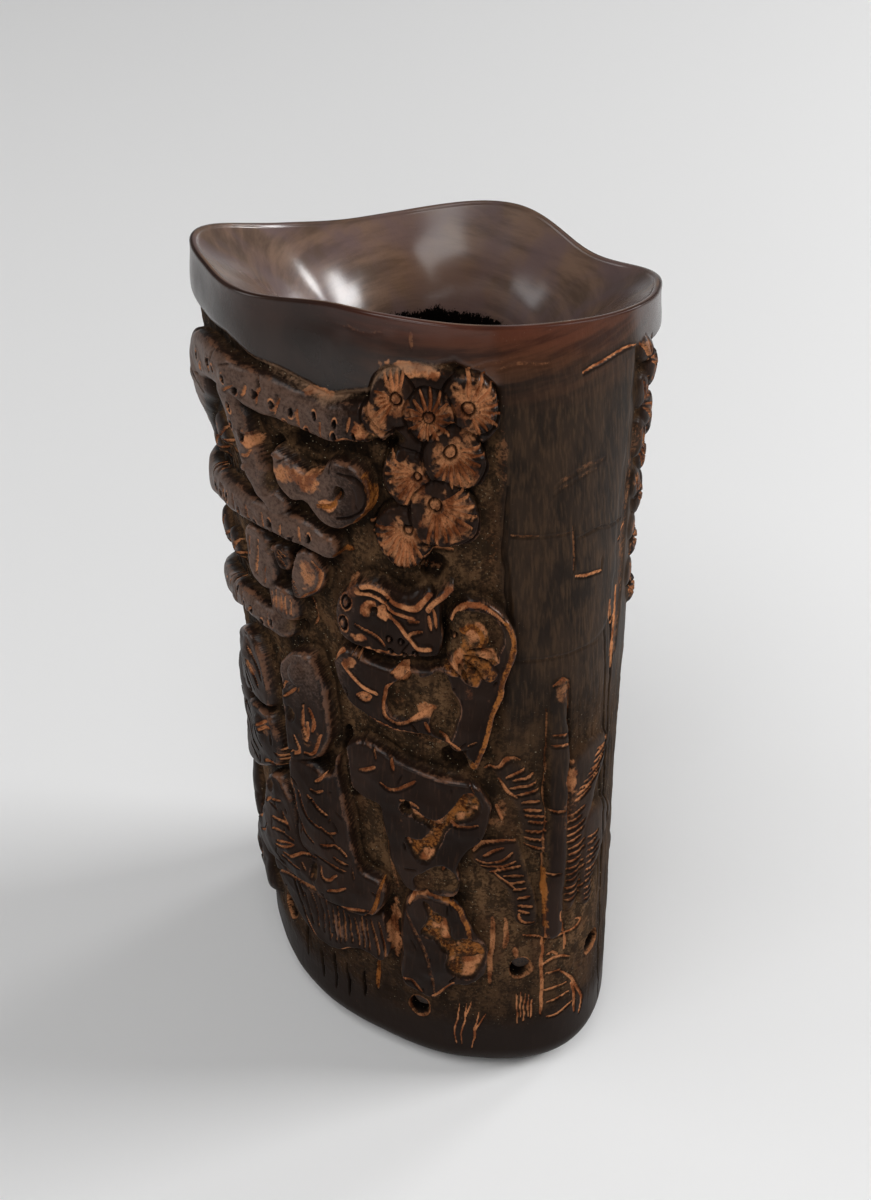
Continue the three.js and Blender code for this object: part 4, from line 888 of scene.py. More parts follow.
trunk = hidden["trunk"]
relief.ridge(spots(trunk["at"]), trunk["half"], trunk["rise"])
for aside, step in hidden["trunkScars"].items():
    scarred(spots(trunk["at"]) + (aside, 0), hidden["trunkScarHalf"], step)
for half, end, places in hidden["branches"]:
    relief.ridge(spots(places), half, hidden["branchRise"], end)
    scarred(spots(places), half, hidden["scarStep"])
for place in spots(hidden["fans"]):
    relief.swell("raised", place, hidden["fanHalf"], hidden["fanHalf"], hidden["fanRise"], power=5)
    first, count = chance.uniform(0, 360), hidden["fanSpokes"]
    relief.needles(place, degrees=[first + k * 360 / count for k in range(count)], **hidden["fanNeedles"])
for place in spots(hidden["clumps"]):
    size, lean = chance.uniform(*hidden["clumpSizes"]), chance.uniform(-35, 35)
    relief.swell("raised", place, *(part * size for part in hidden["clumpForm"]), lean, 3.2)
    across, up, strength = hidden["clumpStain"]
    relief.wash("ochre", place, across * size, up * size, strength, lean)
    degrees = [lean - 60 + 30 * k for k in range(6)]
    relief.needles(place - (0, 2), degrees=degrees, **hidden["clumpNeedles"])
for place in spots(hidden["rocks"]):
    relief.swell("raised", place, *hidden["rockForm"], chance.uniform(-15, 15), 2.6)
    for side in (-1, 1):
        lobe = place + (side * chance.uniform(2.5, 4), chance.uniform(-4, 4))
        up, lean = chance.uniform(2.6, 4), chance.uniform(-40, 40)
        relief.swell("raised", lobe, hidden["lobeHalf"], up, hidden["lobeRise"], lean, 3)
    hollow = place + chance.uniform(-1.2, 1.2, 2)
    relief.swell("cut", hollow, *hidden["hollow"], chance.uniform(-50, 50))
    relief.wash("ochre", hollow, *hidden["hollowStain"], chance.uniform(-50, 50))
    for k in range(3):
        start = place + chance.uniform(-3.2, 3.2, 2)
        middle = start + chance.uniform(-1.4, 1.4, 2)
        vein = np.array((start, middle, start + (chance.uniform(-2, 2), -3.4)))
        relief.stroke(vein, **hidden["veinCut"])
for places in hidden["stalks"]:
    line = spots(places)
    relief.ridge(line, hidden["stalkHalf"], hidden["stalkRise"])
    for k in range(hidden["stalkNodes"]):
        y = line[-1, 1] + (k + 0.5) / hidden["stalkNodes"] * (line[0, 1] - line[-1, 1])
        x = np.interp(y, line[::-1, 1], line[::-1, 0])
        relief.stroke(np.array(((x - 1.3, y), (x, y - 0.3), (x + 1.3, y))), **hidden["nodeCut"])
for places in hidden["blades"]:
    line = spots(places)
    relief.plate(line, **hidden["bladeForm"])
    low, high = line[:, 1].min() + 2, line[:, 1].max() - 2
    for y in np.arange(low, high, hidden["rungStep"]):
        x = np.interp(y, (low, high), (line[line[:, 1].argmin(), 0], line[line[:, 1].argmax(), 0]))
        relief.stroke(np.array(((x - 1.2, y - 0.5), (x + 1.4, y + 0.5))), **hidden["rungCut"])
for place in spots(hidden["pits"]):
    relief.swell("cut", place, *hidden["pitForm"])
print("hidden side carved")

# Small chips and scrapes that the knife left on the raised forms
marks = {"count": 700, "length": (0.6, 2.2), "half": (0.16, 0.3), "depth": (0.15, 0.5), "stain": (-0.5, 0.75)}
for k in range(marks["count"]):
    place = np.array((chance.random() * turnLength, chance.uniform(0.06, 0.93) * cup["height"]))
    lean, length = chance.normal(math.pi / 2, 0.6), chance.uniform(*marks["length"])
    half, depth, stain = (chance.uniform(*marks[key]) for key in ("half", "depth", "stain"))
    row = np.searchsorted(relief.up, place[1])
    column = np.searchsorted(relief.across, place[0]) - 1
    if relief.sheets["raised"][row, column] > 1.2:
        reach = length * np.array((math.cos(lean), math.sin(lean)))
        relief.stroke(np.array((place, place + reach)), half, depth, max(0, stain), shade=0.3)
print("tool marks cut")

# The drilled pits of the pegs, chipped at the rim
pit = {"across": 1.75, "up": 2.3, "depth": 1.6, "holeRadius": 1.72, "holeDepth": 2.5, "stain": 0.55}


def pegPlace(share):
    turn, plugShare = share
    angle = backAngle + turn * 2 * math.pi
    height = plugShare * plug["height"]
    return turn, angle, height, height / lipHeight(angle)


for share in peg["shares"]:
    turn, angle, height, heightShare = pegPlace(share)
    place = np.array((turn * turnLength, heightShare * cup["height"]))
    local = groundRadius(angle, heightShare) / cup["foot"]
    for here, x, y in relief.patches(place.reshape(1, 2), 4):
        dx = (x - place[0]) * local
        dy = (y - place[1]) * lipHeight(angle) / cup["height"]
        chipped = 1 + 0.25 * uneven(x % turnLength, y, 1.2, 41)
        mouth = np.hypot(dx / pit["across"], dy / pit["up"]) * chipped
        hole = np.hypot(dx, dy)
        relief.put("fine", here, pit["depth"] * np.sqrt(np.clip(1 - mouth**2, 0, 1)))
        relief.put("fine", here, pit["holeDepth"] * smoothStep(pit["holeRadius"] + 0.12 - hole, 0, 0.2))
        relief.put("ochre", here, pit["stain"] * smoothStep(1.1 - np.abs(mouth - 1.02) * 6, 0, 1))
        relief.put("shade", here, smoothStep(0.98 - mouth, 0, 0.2))

# Ground: punched and scraped between the forms, smooth on the band and the slab
ground = {
    "punched": [(0.14, 0.9, 21), (0.06, 0.4, 22), (0.5, 3.5, 23)], "scraped": [(0.12, 0.5, 24, 7), (0.25, 4, 25, 2)],
    "forms": [(0.5, 4.2, 26), (0.18, 1.6, 27)], "band": [(0.12, 7, 28)],
}
sheets = relief.sheets
x, y = relief.x % turnLength, relief.y
raised, cut = sheets["raised"], sheets["cut"]
lowGround = (1 - smoothStep(raised, 0.15, 1.0)) * (1 - bandMask)
plainFoot = 1 - smoothStep(relief.y + 3 * uneven(x, y, 9, 29), 9, 15)
worked = rough(x, y, ground["punched"]) * (1 - 0.75 * slabTurn) + rough(x, y, ground["scraped"])
carved = raised + sheets["bead"] - cut - sheets["fine"]
onForms = smoothStep(raised, 0.9, 1.8) * (1 - bandMask) * (1 - 0.8 * slabTurn)
carved += worked * lowGround * (1 - 0.85 * plainFoot) + rough(x, y, ground["forms"]) * onForms
carved += rough(x, y, ground["band"]) * bandMask
fromFoot = smoothStep(relief.y, 0, cup["footMargin"])
fromLip = smoothStep(cup["height"] - relief.y, 0, cup["lipMargin"])
carved *= fromFoot * fromLip


def blurred(sheet, reach):
    # box mean over reach rows and columns, round the seam
    wide = np.concatenate((sheet[:, -reach:], sheet, sheet[:, :reach]), 1)
    sums = np.cumsum(np.concatenate((np.zeros((len(wide), 1)), wide), 1), 1)
    sheet = (sums[:, 2 * reach + 1:] - sums[:, :-2 * reach - 1]) / (2 * reach + 1)
    tall = np.concatenate((np.repeat(sheet[:1], reach, 0), sheet, np.repeat(sheet[-1:], reach, 0)))
    sums = np.cumsum(np.concatenate((np.zeros((1, tall.shape[1])), tall)), 0)
    return (sums[2 * reach + 1:] - sums[:-2 * reach - 1]) / (2 * reach + 1)


# Masks for the paint: how far a place lies under the forms round it, for painted shade, or over them, for wear and a
# painted sheen, and what it belongs to
near, wide = (3, 12) if full else (2, 6)
broadly = blurred(blurred(carved, wide), wide)
# dust and a painted sheen on the raised forms of the upper left
upperPart = smoothStep(relief.y, 0.42 * cup["height"], 0.64 * cup["height"])
dustAndSheen = smoothStep(raised, 1.2, 2) * upperPart * (1 - bandMask)
dustAndSheen = dustAndSheen * smoothStep(-relief.x, -0.46 * turnLength, -0.39 * turnLength) * (1 - sheets["shade"])
closeBy = blurred(carved, near)
redTurn = 0.25 + 0.75 * within(relief.x, *band["redTurn"])
warm = bandMask * within(relief.x, *band["warmTurn"])
slabPaint = np.maximum(smoothStep(relief.y, 45, 80), smoothStep(relief.x, 0.625 * turnLength, 0.645 * turnLength))
rows = 2 if full else 1
# painted shadow along the edges of each stained cut, stronger below it
shadowBesideCuts = np.maximum(np.roll(sheets["ochre"], -rows, 0), 0.6 * np.roll(sheets["ochre"], rows, 0))
skin = {
    "ochre": sheets["ochre"], "amber": sheets["amber"], "dusty": sheets["dusty"],
    "shade": np.clip(sheets["shade"] + 0.8 * np.clip(shadowBesideCuts - sheets["ochre"], 0, 1), 0, 1),
    "dustAndSheen": dustAndSheen,
    # painted shade in the hollows: how far a place lies under the forms round it
    "hollow": np.clip((broadly - closeBy) / 0.8, 0, 1),
    # edges standing over the forms round them: wear, and a painted sheen
    "worn": smoothStep(carved - closeBy, 0.08, 0.34) * smoothStep(raised, 0.6, 1.4),
    "field": np.maximum(lowGround, smoothStep(cut, 0.35, 0.9)) * (1 - plainFoot),
    "slab": slabTurn * slabPaint,
    "foot": 1 - smoothStep(relief.y + 12 * uneven(x, y, 13, 29), 6, 36),
    "warm": warm + slabTurn * (blurred(warm, 2 * wide) - warm),
    "band": bandMask * (1 - slabTurn),
    "lipEdge": smoothStep(relief.y, 0.955 * cup["height"], cup["height"]) * redTurn,
}
print("relief done, highest", round(float(carved.max()), 2))

# The horn's skin as one closed grid: up the outside, over the lip, down the bowl and bore
angles = backAngle + turns * 2 * math.pi
lips = lipHeight(angles)
rings = []
for k, share in enumerate(shares):
    rings.append((groundRadius(angles, share) + carved[k], share * lips))
lipOuter = groundRadius(angles, 1 - lipShare)
lipInner = boreRadius(angles, (1 - lipShare) * lips) + grain["lipThinning"]
for k in range(1, grain["lipRows"] + 1):
    lean = math.pi * k / (grain["lipRows"] + 1)
    side = 0.5 + 0.5 * math.cos(lean)
    rings.append((lipInner + (lipOuter - lipInner) * side, lips * (1 - lipShare + lipShare * math.sin(lean))))
bowlTop = (1 - lipShare) * lips
insideX = turns * turnLength
for k in range(grain["bowlRows"] + 1):
    s = k / grain["bowlRows"]
    height = bowlTop + (bore["throatHeight"] - bowlTop) * s
    dented = rough(insideX, height, bore["dents"]) * math.sin(math.pi * min(1, 1.2 * s))
    thinned = grain["lipThinning"] * np.exp(-(((bowlTop - height) / 2.5) ** 2))
    rings.append((boreRadius(angles, height) + dented + thinned, height))
for k in range(1, grain["boreRows"] + 1):
    height = np.full(len(turns), bore["throatHeight"] * (1 - k / grain["boreRows"]))
    worn = rough(insideX, height, bore["scrapes"]) * smoothStep(height, plug["height"], plug["height"] + 6)
    rings.append((boreRadius(angles, height) - np.abs(worn), height))
footOuter, footInner = rings[0][0], rings[-1][0]
for k in range(1, grain["footRows"] + 1):
    s = k / (grain["footRows"] + 1)
    rings.append((footInner + (footOuter - footInner) * s, np.zeros(len(turns))))
radii, heights = (np.array([ring[i] for ring in rings]) for i in (0, 1))
outsideRows = len(shares)
ringCount = len(radii)


def gridMesh(name, radii, heights, angles):
    # a closed grid of rings, with its map for the bake
    rows, columns = radii.shape
    places = np.stack((radii * np.cos(angles), radii * np.sin(angles), heights), 2) * mm
    mesh = bpy.data.meshes.new(name)
    r, c = np.meshgrid(np.arange(rows), np.arange(columns), indexing="ij")
    row, nextRow, nextColumn = r * columns, (r + 1) % rows * columns, (c + 1) % columns
    quads = np.stack((row + c, row + nextColumn, nextRow + nextColumn, nextRow + c), 2)
    mesh.vertices.add(rows * columns)
    mesh.vertices.foreach_set("co", places.astype(np.float32).ravel())
    mesh.loops.add(quads.size)
    mesh.loops.foreach_set("vertex_index", quads.astype(np.int32).ravel())
    mesh.polygons.add(rows * columns)
    mesh.polygons.foreach_set("loop_start", np.arange(0, quads.size, 4, dtype=np.int32))
    mesh.update(calc_edges=True)
    mesh.polygons.foreach_set("use_smooth", np.ones(rows * columns, bool))
    uv = np.stack((np.stack((c, c + 1, c + 1, c), 2) / columns, np.stack((r, r, r + 1, r + 1), 2) / rows), 3)
    mesh.uv_layers.new(name="OFBake").data.foreach_set("uv", uv.astype(np.float32).ravel())
    mesh.validate()
    return mesh


def paint(mesh, name, values):
    layer = mesh.attributes.new(name, "FLOAT", "POINT")
    layer.data.foreach_set("value", np.ascontiguousarray(values, np.float32).ravel())


def show(mesh, name, material):
    piece = bpy.data.objects.new(name, mesh)
    bpy.context.collection.objects.link(piece)
    mesh.materials.append(material)
    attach(piece, "root")
    return piece


# a painted glow of light on the back of the bowl, just under the lip
bowlGlow = {"turn": 0.0, "across": 0.04, "height": 115, "up": 4}
hornMesh = gridMesh("hornWall", radii, heights, angles[None, :])
inner = np.zeros(radii.shape)
inner[outsideRows + 3:] = 1
turnsHere = np.repeat(turns[None, :], ringCount, 0)
fromGlow = (turnsHere - bowlGlow["turn"] + 0.5) % 1 - 0.5
glowHere = np.exp(-((fromGlow / bowlGlow["across"]) ** 2) - ((heights - bowlGlow["height"]) / bowlGlow["up"]) ** 2)
frayed = rough(turnsHere * turnLength, heights, bore["frayed"])
boreMask = inner * (1 - smoothStep(heights + frayed, bore["throatHeight"] - 0.4, bore["throatHeight"] + 1.6))
for name, sheet in skin.items():
    values = np.zeros(radii.shape)
    values[:outsideRows] = sheet
    if name in ("band", "lipEdge"):
        values[outsideRows:outsideRows + grain["lipRows"]] = sheet[-1]
    paint(hornMesh, name, values)
paint(hornMesh, "inner", inner)
paint(hornMesh, "bore", boreMask)
paint(hornMesh, "glow", glowHere * inner)
print("horn mesh", radii.size, "faces")


# Finishes
def tone(red, green, blue):
    # a colour as seen on a screen, 0 to 255, made linear
    linear = ((c / 255 / 12.92 if c < 11 else ((c / 255 + 0.055) / 1.055) ** 2.4) for c in (red, green, blue))
    return *linear, 1


class Wire:
    # a socket that can be used in sums
    def __init__(self, finish, socket):
        self.finish, self.socket = finish, socket

    def sum(self, operation, first, second):
        return self.finish.add("ShaderNodeMath", {"operation": operation}, {0: first, 1: second})

    def __add__(self, other):
        return self.sum("ADD", self, other)

    def __radd__(self, other):
        return self.sum("ADD", other, self)

    def __sub__(self, other):
        return self.sum("SUBTRACT", self, other)

    def __rsub__(self, other):
        return self.sum("SUBTRACT", other, self)

    def __mul__(self, other):
        return self.sum("MULTIPLY", self, other)

    def __rmul__(self, other):
        return self.sum("MULTIPLY", other, self)


class Finish:
    # A material: nodes go in through add, and wear puts the results on its shader
    def __init__(self, name):
        self.material = bpy.data.materials.new(name)
        self.material.use_nodes = True
        self.tree = self.material.node_tree
        self.shader = self.tree.nodes["Principled BSDF"]

    def add(self, kind, settings=None, values=None, out=0):
        node = self.tree.nodes.new(kind)
        for name, value in (settings or {}).items():
            setattr(node, name, value)
        for key, value in (values or {}).items():
            self.put(node.inputs[key], value)
        return Wire(self, node.outputs[out])

    def put(self, socket, value):
        if isinstance(value, Wire):
            self.tree.links.new(value.socket, socket)
        else:
            socket.default_value = value

    def wear(self, **sockets):
        for name, value in sockets.items():
            self.put(self.shader.inputs[name.replace("_", " ")], value)
        return self.material

    def painted(self, name):
        return self.add("ShaderNodeAttribute", {"attribute_name": name}, out=2)

    def place(self, stretch):
        spot = self.add("ShaderNodeTexCoord", out=3)
        return self.add("ShaderNodeVectorMath", {"operation": "MULTIPLY"}, {0: spot, 1: stretch})

    def cloudy(self, cell, stretch=(1, 1, 1), detail=3, rough=0.55):
        # noise whose patches are about cell millimetres across
        return self.add("ShaderNodeTexNoise", {}, {"Vector": self.place(stretch), "Scale": 1 / (cell * mm),
                                                   "Detail": detail, "Roughness": rough})

    def between(self, value, low, high, start=0.0, end=1.0):
        return self.add("ShaderNodeMapRange", {"interpolation_type": "SMOOTHSTEP"},
                        {"Value": value, "From Min": low, "From Max": high, "To Min": start, "To Max": end})

    def mixed(self, share, first, second):
        return self.add("ShaderNodeMix", {"data_type": "RGBA"}, {0: share, 6: first, 7: second}, 2)

    def bump(self, height, distance, strength=1.0):
        return self.add("ShaderNodeBump", {}, {"Strength": strength, "Distance": distance * mm, "Height": height})


hornColours = {
    # bare horn, its worn edges with a painted sheen, dust and painted sheen on its upper left forms, painted shade
    # for its hollows, and the worked ground
    "dark": tone(29, 18, 12), "slate": tone(43, 29, 22), "worn": tone(112, 76, 55), "dustAndSheen": tone(106, 83, 71),
    "dust": tone(104, 77, 53), "olive": tone(55, 41, 28), "umber": tone(70, 42, 28), "foot": tone(31, 22, 17),
    "gap": tone(11, 7, 5), "fleck": tone(176, 160, 132), "slab": tone(50, 37, 27), "slabDark": tone(31, 23, 17),
    # stain in the cuts
    "ochre": tone(190, 128, 86), "rust": tone(136, 78, 46), "amber": tone(150, 92, 44), "resin": tone(84, 46, 22),
    "dusty": tone(148, 116, 92),
    # band, lip and bowl, with a painted glow in the bowl and the bore darkened with painted shade
    "lip": tone(88, 46, 33), "bandWarm": tone(80, 51, 35), "bowl": tone(116, 91, 75), "bowlDark": tone(84, 65, 53),
    "bowlCool": tone(98, 80, 81), "glow": tone(118, 82, 52), "bore": tone(9, 6, 5),
}


def hornFinish():
    f = Finish("polished horn")
    colours = hornColours
    field, slab, band, foot = f.painted("field"), f.painted("slab"), f.painted("band"), f.painted("foot")
    hollow, worn, inner, dustAndSheen = f.painted("hollow"), f.painted("worn"), f.painted("inner"), f.painted("dustAndSheen")
    ochre, amber, lipEdge = f.painted("ochre"), f.painted("amber"), f.painted("lipEdge")
    boreMask, glow, shade, dusty = f.painted("bore"), f.painted("glow"), f.painted("shade"), f.painted("dusty")
    streaks = f.cloudy(1.6, (1, 1, 0.1), 4, 0.6)
    patches = f.cloudy(8, (1, 1, 0.6), 3)
    mottle = f.cloudy(2.4, (1, 1, 0.7), 4, 0.62)
    speckle = f.cloudy(0.5, (1, 1, 1), 3, 0.65)
    hairs = f.cloudy(0.4, (1, 1, 0.1), 2, 0.5)
    layers = f.cloudy(2.6, (0.22, 0.22, 1.5), 4, 0.6)
    ragged = (speckle - 0.5) * 0.9 + (mottle - 0.5) * 0.5
    colour = f.mixed(f.between(patches, 0.35, 0.65), colours["dark"], colours["slate"])
    colour = f.mixed(f.between(hairs, 0.55, 0.7) * (1 - band) * 0.08, colour, colours["worn"])
    ground = f.mixed(f.between(mottle + (speckle - 0.5) * 0.7, 0.38, 0.62), colours["olive"], colours["dust"])
    ground = f.mixed(f.between(streaks, 0.45, 0.75) * 0.6, ground, colours["slabDark"])
    ground = f.mixed(f.between(patches + (mottle - 0.5) * 0.6, 0.5, 0.72) * 0.35, ground, colours["umber"])
    # dust and a painted sheen on the upper left forms
    colour = f.mixed(f.between(dustAndSheen + ragged * 1.4, 0.4, 1.3) * 0.85, colour, colours["dustAndSheen"])
    colour = f.mixed(field * f.between(speckle, 0.2, 0.6, 0.6, 1.0), colour, ground)
    smears = f.cloudy(4.5, (1, 1, 0.4), 4, 0.6) + (streaks - 0.5) * 0.5
    plain = f.mixed(f.between(smears, 0.36, 0.64), colours["slabDark"], colours["slab"])
    plain = f.mixed(f.between(hairs + (mottle - 0.5) * 0.6, 0.42, 0.7) * 0.2, plain, colours["dust"])
    colour = f.mixed(slab * 0.9, colour, plain)
    warm = f.mixed(f.between(layers, 0.36, 0.62), colours["slate"], colours["bandWarm"])
    colour = f.mixed(f.painted("warm"), colour, warm)
    colour = f.mixed(foot * 0.85, colour, colours["foot"])
    # worn edges made lighter: partly wear, partly a painted sheen
    wearAndSheen = f.between(worn * 0.7 + (mottle - 0.5) * 2.2 + (speckle - 0.5) * 0.8, 0.42, 0.9)
    colour = f.mixed(wearAndSheen * 0.8, colour, colours["worn"])
    # painted shade in the hollows between and beside the forms
    colour = f.mixed(hollow * 0.85, colour, colours["gap"])
    cutTone = f.between(ochre + ragged, 0.28, 0.8)
    pigment = f.mixed(f.between(mottle, 0.4, 0.56), colours["rust"], colours["ochre"])
    pigment = f.mixed(f.between(speckle, 0.5, 0.66) * 0.6, pigment, colours["umber"])
    colour = f.mixed(cutTone, colour, pigment)
    resin = f.mixed(f.between(mottle + (speckle - 0.5) * 0.8, 0.4, 0.62), colours["resin"], colours["amber"])
    colour = f.mixed(f.between(amber + ragged, 0.28, 0.8), colour, resin)
    # painted shade in the pits, rings and grooves, and beside the stained cuts
    colour = f.mixed(shade * 0.85, colour, colours["gap"])
    colour = f.mixed(f.between(dusty + ragged, 0.3, 0.95) * 0.7, colour, colours["dusty"])
    colour = f.mixed(lipEdge * f.between(layers, 0.3, 0.7, 0.3, 0.7), colour, colours["lip"])
    bowl = f.mixed(f.between(layers, 0.34, 0.64), colours["bowlDark"], colours["bowl"])
    bowl = f.mixed(f.between(patches, 0.35, 0.65) * 0.7, bowl, colours["bowlCool"])
    # a painted glow of light on the back of the bowl
    bowl = f.mixed(glow * 0.5, bowl, colours["glow"])
    # the bore below the throat: its rough fibre, darkened almost to black as painted shade
    boreMask = f.between(boreMask + (f.cloudy(0.25, (1, 1, 0.6), 2, 0.6) - 0.5) * 1.4, 0.35, 0.6)
    bowl = f.mixed(boreMask, bowl, colours["bore"])
    colour = f.mixed(inner, colour, bowl)
    flecks = f.between(f.cloudy(0.22, (1, 1, 1), 0), 0.8, 0.84) * (field + hollow) * (1 - inner)
    colour = f.mixed(flecks * 0.5, colour, colours["fleck"])
    roughness = 0.42 + field * 0.25 + cutTone * 0.2 + inner * boreMask * 0.4 - band * 0.06
    polish = 0.16 + worn * 0.2 + dustAndSheen * 0.1 + band * 0.5 + slab * 0.04
    polish = polish - field * 0.12 - cutTone * 0.15 - hollow * 0.15 - shade * 0.2
    polish = f.between(polish * (1 - inner) + (inner - boreMask) * 0.95, 0.0, 1.0)
    tiny = speckle * (field * 1.1 + 0.25) + streaks * (slab * 0.7 + field * 0.5 + 0.2) + hairs * 0.25
    tiny = tiny + boreMask * speckle * 2 + layers * inner * 0.5
    return f.wear(Base_Color=colour, Roughness=roughness, Normal=f.bump(tiny, 0.08), Specular_IOR_Level=0.02,
                  Coat_Weight=polish, Coat_Roughness=0.22)


horn = show(hornMesh, "hornWall", hornFinish())
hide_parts("horn_wall")


# Plug, seal and pegs
def closedRings(name, profile, radiusAt, columns=160):
    # rings from the lower pole to the upper one, each drawn by radiusAt(angle, height, inset)
    turn = np.arange(columns) / columns * 2 * math.pi
    radii = np.array([np.maximum(radiusAt(turn, height, inset), 0) * reach for reach, inset, height in profile])
    heights = np.array([np.full(columns, float(height)) for _, _, height in profile])
    places = np.stack((radii * np.cos(turn), radii * np.sin(turn), heights), 2).reshape(-1, 3) * mm
    rows = len(profile)
    low, high = rows * columns, rows * columns + 1
    points = [*map(tuple, places), (0, 0, profile[0][2] * mm), (0, 0, profile[-1][2] * mm)]
    faces = []
    for r in range(rows - 1):
        for c in range(columns):
            n = (c + 1) % columns
            faces.append((r * columns + c, r * columns + n, (r + 1) * columns + n, (r + 1) * columns + c))
    faces += [(low, (c + 1) % columns, c) for c in range(columns)]
    top = (rows - 1) * columns
    faces += [(high, top + c, top + (c + 1) % columns) for c in range(columns)]
    mesh = bpy.data.meshes.new(name)
    mesh.from_pydata(points, [], faces)
    mesh.polygons.foreach_set("use_smooth", np.ones(len(faces), bool))
    mesh.update()
    return mesh


def plugFinish():
    f = Finish("end grain plug")
    rings = f.add("ShaderNodeTexWave", {"wave_type": "RINGS", "rings_direction": "Z"},
                  {"Vector": f.place((1, 1, 0.2)), "Scale": 160.0, "Distortion": 3.0, "Detail": 2.0})
    pores = f.cloudy(0.5, (1, 1, 0.15), 2)
    colour = f.mixed(f.between(rings, 0.1, 0.9), tone(52, 38, 28), tone(84, 62, 44))
    colour = f.mixed(f.between(pores, 0.6, 0.72), colour, tone(28, 20, 15))
    return f.wear(Base_Color=colour, Roughness=0.5 + rings * 0.2, Normal=f.bump(rings * 0.5 + pores, 0.12))


def sealFinish():
    f = Finish("old wax")
    flow = f.cloudy(2.5, (1, 1, 1), 3)
    colour = f.mixed(f.between(flow, 0.3, 0.7), tone(84, 50, 24), tone(122, 78, 38))
    return f.wear(Base_Color=colour, Roughness=0.35 + flow * 0.3, Normal=f.bump(flow, 0.3))


def pegFinish():
    f = Finish("bamboo peg end")
    fibres = f.cloudy(0.28, (1, 1, 1), 2, 0.7)
    stain = f.cloudy(1.6, (1, 1, 1), 2)
    colour = f.mixed(f.between(fibres, 0.35, 0.65), tone(30, 20, 14), tone(66, 46, 30))
    colour = f.mixed(f.between(stain, 0.45, 0.6) * 0.6, colour, tone(20, 14, 11))
    return f.wear(Base_Color=colour, Roughness=0.72, Normal=f.bump(fibres, 0.15))


def plugRadius(angle, height, inset):
    return boreRadius(angle, np.full(np.shape(angle), float(height))) - plug["fitGap"] - inset


top, chamfer = plug["height"], plug["chamfer"]
plugProfile = [(s, 0, 0) for s in (0.25, 0.5, 0.75, 0.95)]
plugProfile += [(1, 0.3, 0), (1, 0.05, 0.25)] + [(1, 0, h) for h in (0.7, 4, 8, 12, 16, 20, 24, top - chamfer)]
plugProfile += [(1, chamfer * (1 - math.cos(a)), top - chamfer * (1 - math.sin(a))) for a in (0.5, 1.0, math.pi / 2)]
plugProfile += [(s, chamfer, top) for s in (0.8, 0.55, 0.3)]
basePlug = show(closedRings("basePlug", plugProfile, plugRadius), "basePlug", plugFinish())
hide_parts("base_plug")


def sealRings():
    # a poured bead in the corner, its face sagging between bore and plug
    low = plug["height"] + plug["fitGap"]
    sides = [(0, low), (0, low + plug["sealHeight"])]
    for k in range(1, 8):
        s = k / 8
        sag = 0.28 * math.sin(math.pi * s)
        sides.append((plug["sealWidth"] * s * (1 - sag), low + plug["sealHeight"] * (1 - s) * (1 - sag)))
    sides.append((plug["sealWidth"], low))
    sides += [(plug["sealWidth"] * s, low) for s in (0.66, 0.33)]
    columns = 240
    turn = np.arange(columns) / columns * 2 * math.pi
    radii = np.array([plugRadius(turn, height, inset) for inset, height in sides])
    heights = np.array([np.full(columns, float(height)) for _, height in sides])
    return gridMesh("plugSeal", radii[::-1], heights[::-1], turn[None, :])


plugSeal = show(sealRings(), "plugSeal", sealFinish())
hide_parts("plug_seal")


def wallDirection(angle, heightShare):
    step = math.pi / 96
    ends = []
    for side in (angle - step, angle + step):
        radius = float(groundRadius(side, heightShare))
        ends.append(Vector((radius * math.cos(side), radius * math.sin(side), 0)))
    along = (ends[1] - ends[0]).normalized()
    return Vector((along.y, -along.x, 0))


def pegMesh(number, share):
    # a whittled rod with a worn, slightly split head
    _, angle, height, heightShare = pegPlace(share)
    outward = wallDirection(angle, heightShare)
    ground = float(groundRadius(angle, heightShare))
    centre = Vector((ground * math.cos(angle), ground * math.sin(angle), height))
    aside, up = outward.cross(Vector((0, 0, 1))), Vector((0, 0, 1))
    spread = np.random.default_rng(60 + number)
    sides, inner = 40, bore["wall"] + peg["bite"]
    profile = [(s, peg["sink"]) for s in (0.25, 0.5, 0.72)] + [(0.88, peg["sink"] + 0.04), (0.97, peg["sink"] + 0.2)]
    profile += [(0.99, d) for d in (peg["sink"] + 0.6, 4, 7, inner - 0.4)] + [(0.9, inner), (0.5, inner)]
    points = [centre - outward * peg["sink"]]
    flats = 1 - 0.035 * np.abs(np.sin(np.arange(sides) / sides * math.pi * 5))
    for k, (reach, depth) in enumerate(profile):
        for s in range(sides):
            turn = s / sides * 2 * math.pi
            radius = peg["radius"] * reach * flats[s]
            dent = spread.uniform(0, 0.12) if k < 4 else 0
            point = centre - outward * (depth + dent)
            points.append(point + (aside * math.cos(turn) + up * math.sin(turn)) * radius)
    points.append(centre - outward * inner)
    faces = [(0, 1 + s, 1 + (s + 1) % sides) for s in range(sides)]
    for k in range(len(profile) - 1):
        for s in range(sides):
            n = (s + 1) % sides
            a, b = 1 + k * sides, 1 + (k + 1) * sides
            faces.append((a + s, b + s, b + n, a + n))
    last = 1 + (len(profile) - 1) * sides
    faces += [(len(points) - 1, last + (s + 1) % sides, last + s) for s in range(sides)]
    mesh = bpy.data.meshes.new(f"peg{number}")
    mesh.from_pydata([p * mm for p in points], [], faces)
    mesh.polygons.foreach_set("use_smooth", np.ones(len(faces), bool))
    mesh.update()
    return mesh


pegMaterial = pegFinish()
for number, share in enumerate(peg["shares"], 1):
    piece = show(pegMesh(number, share), f"peg{number}", pegMaterial)
    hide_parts(f"peg_{number}")
print("plug, seal and pegs made")


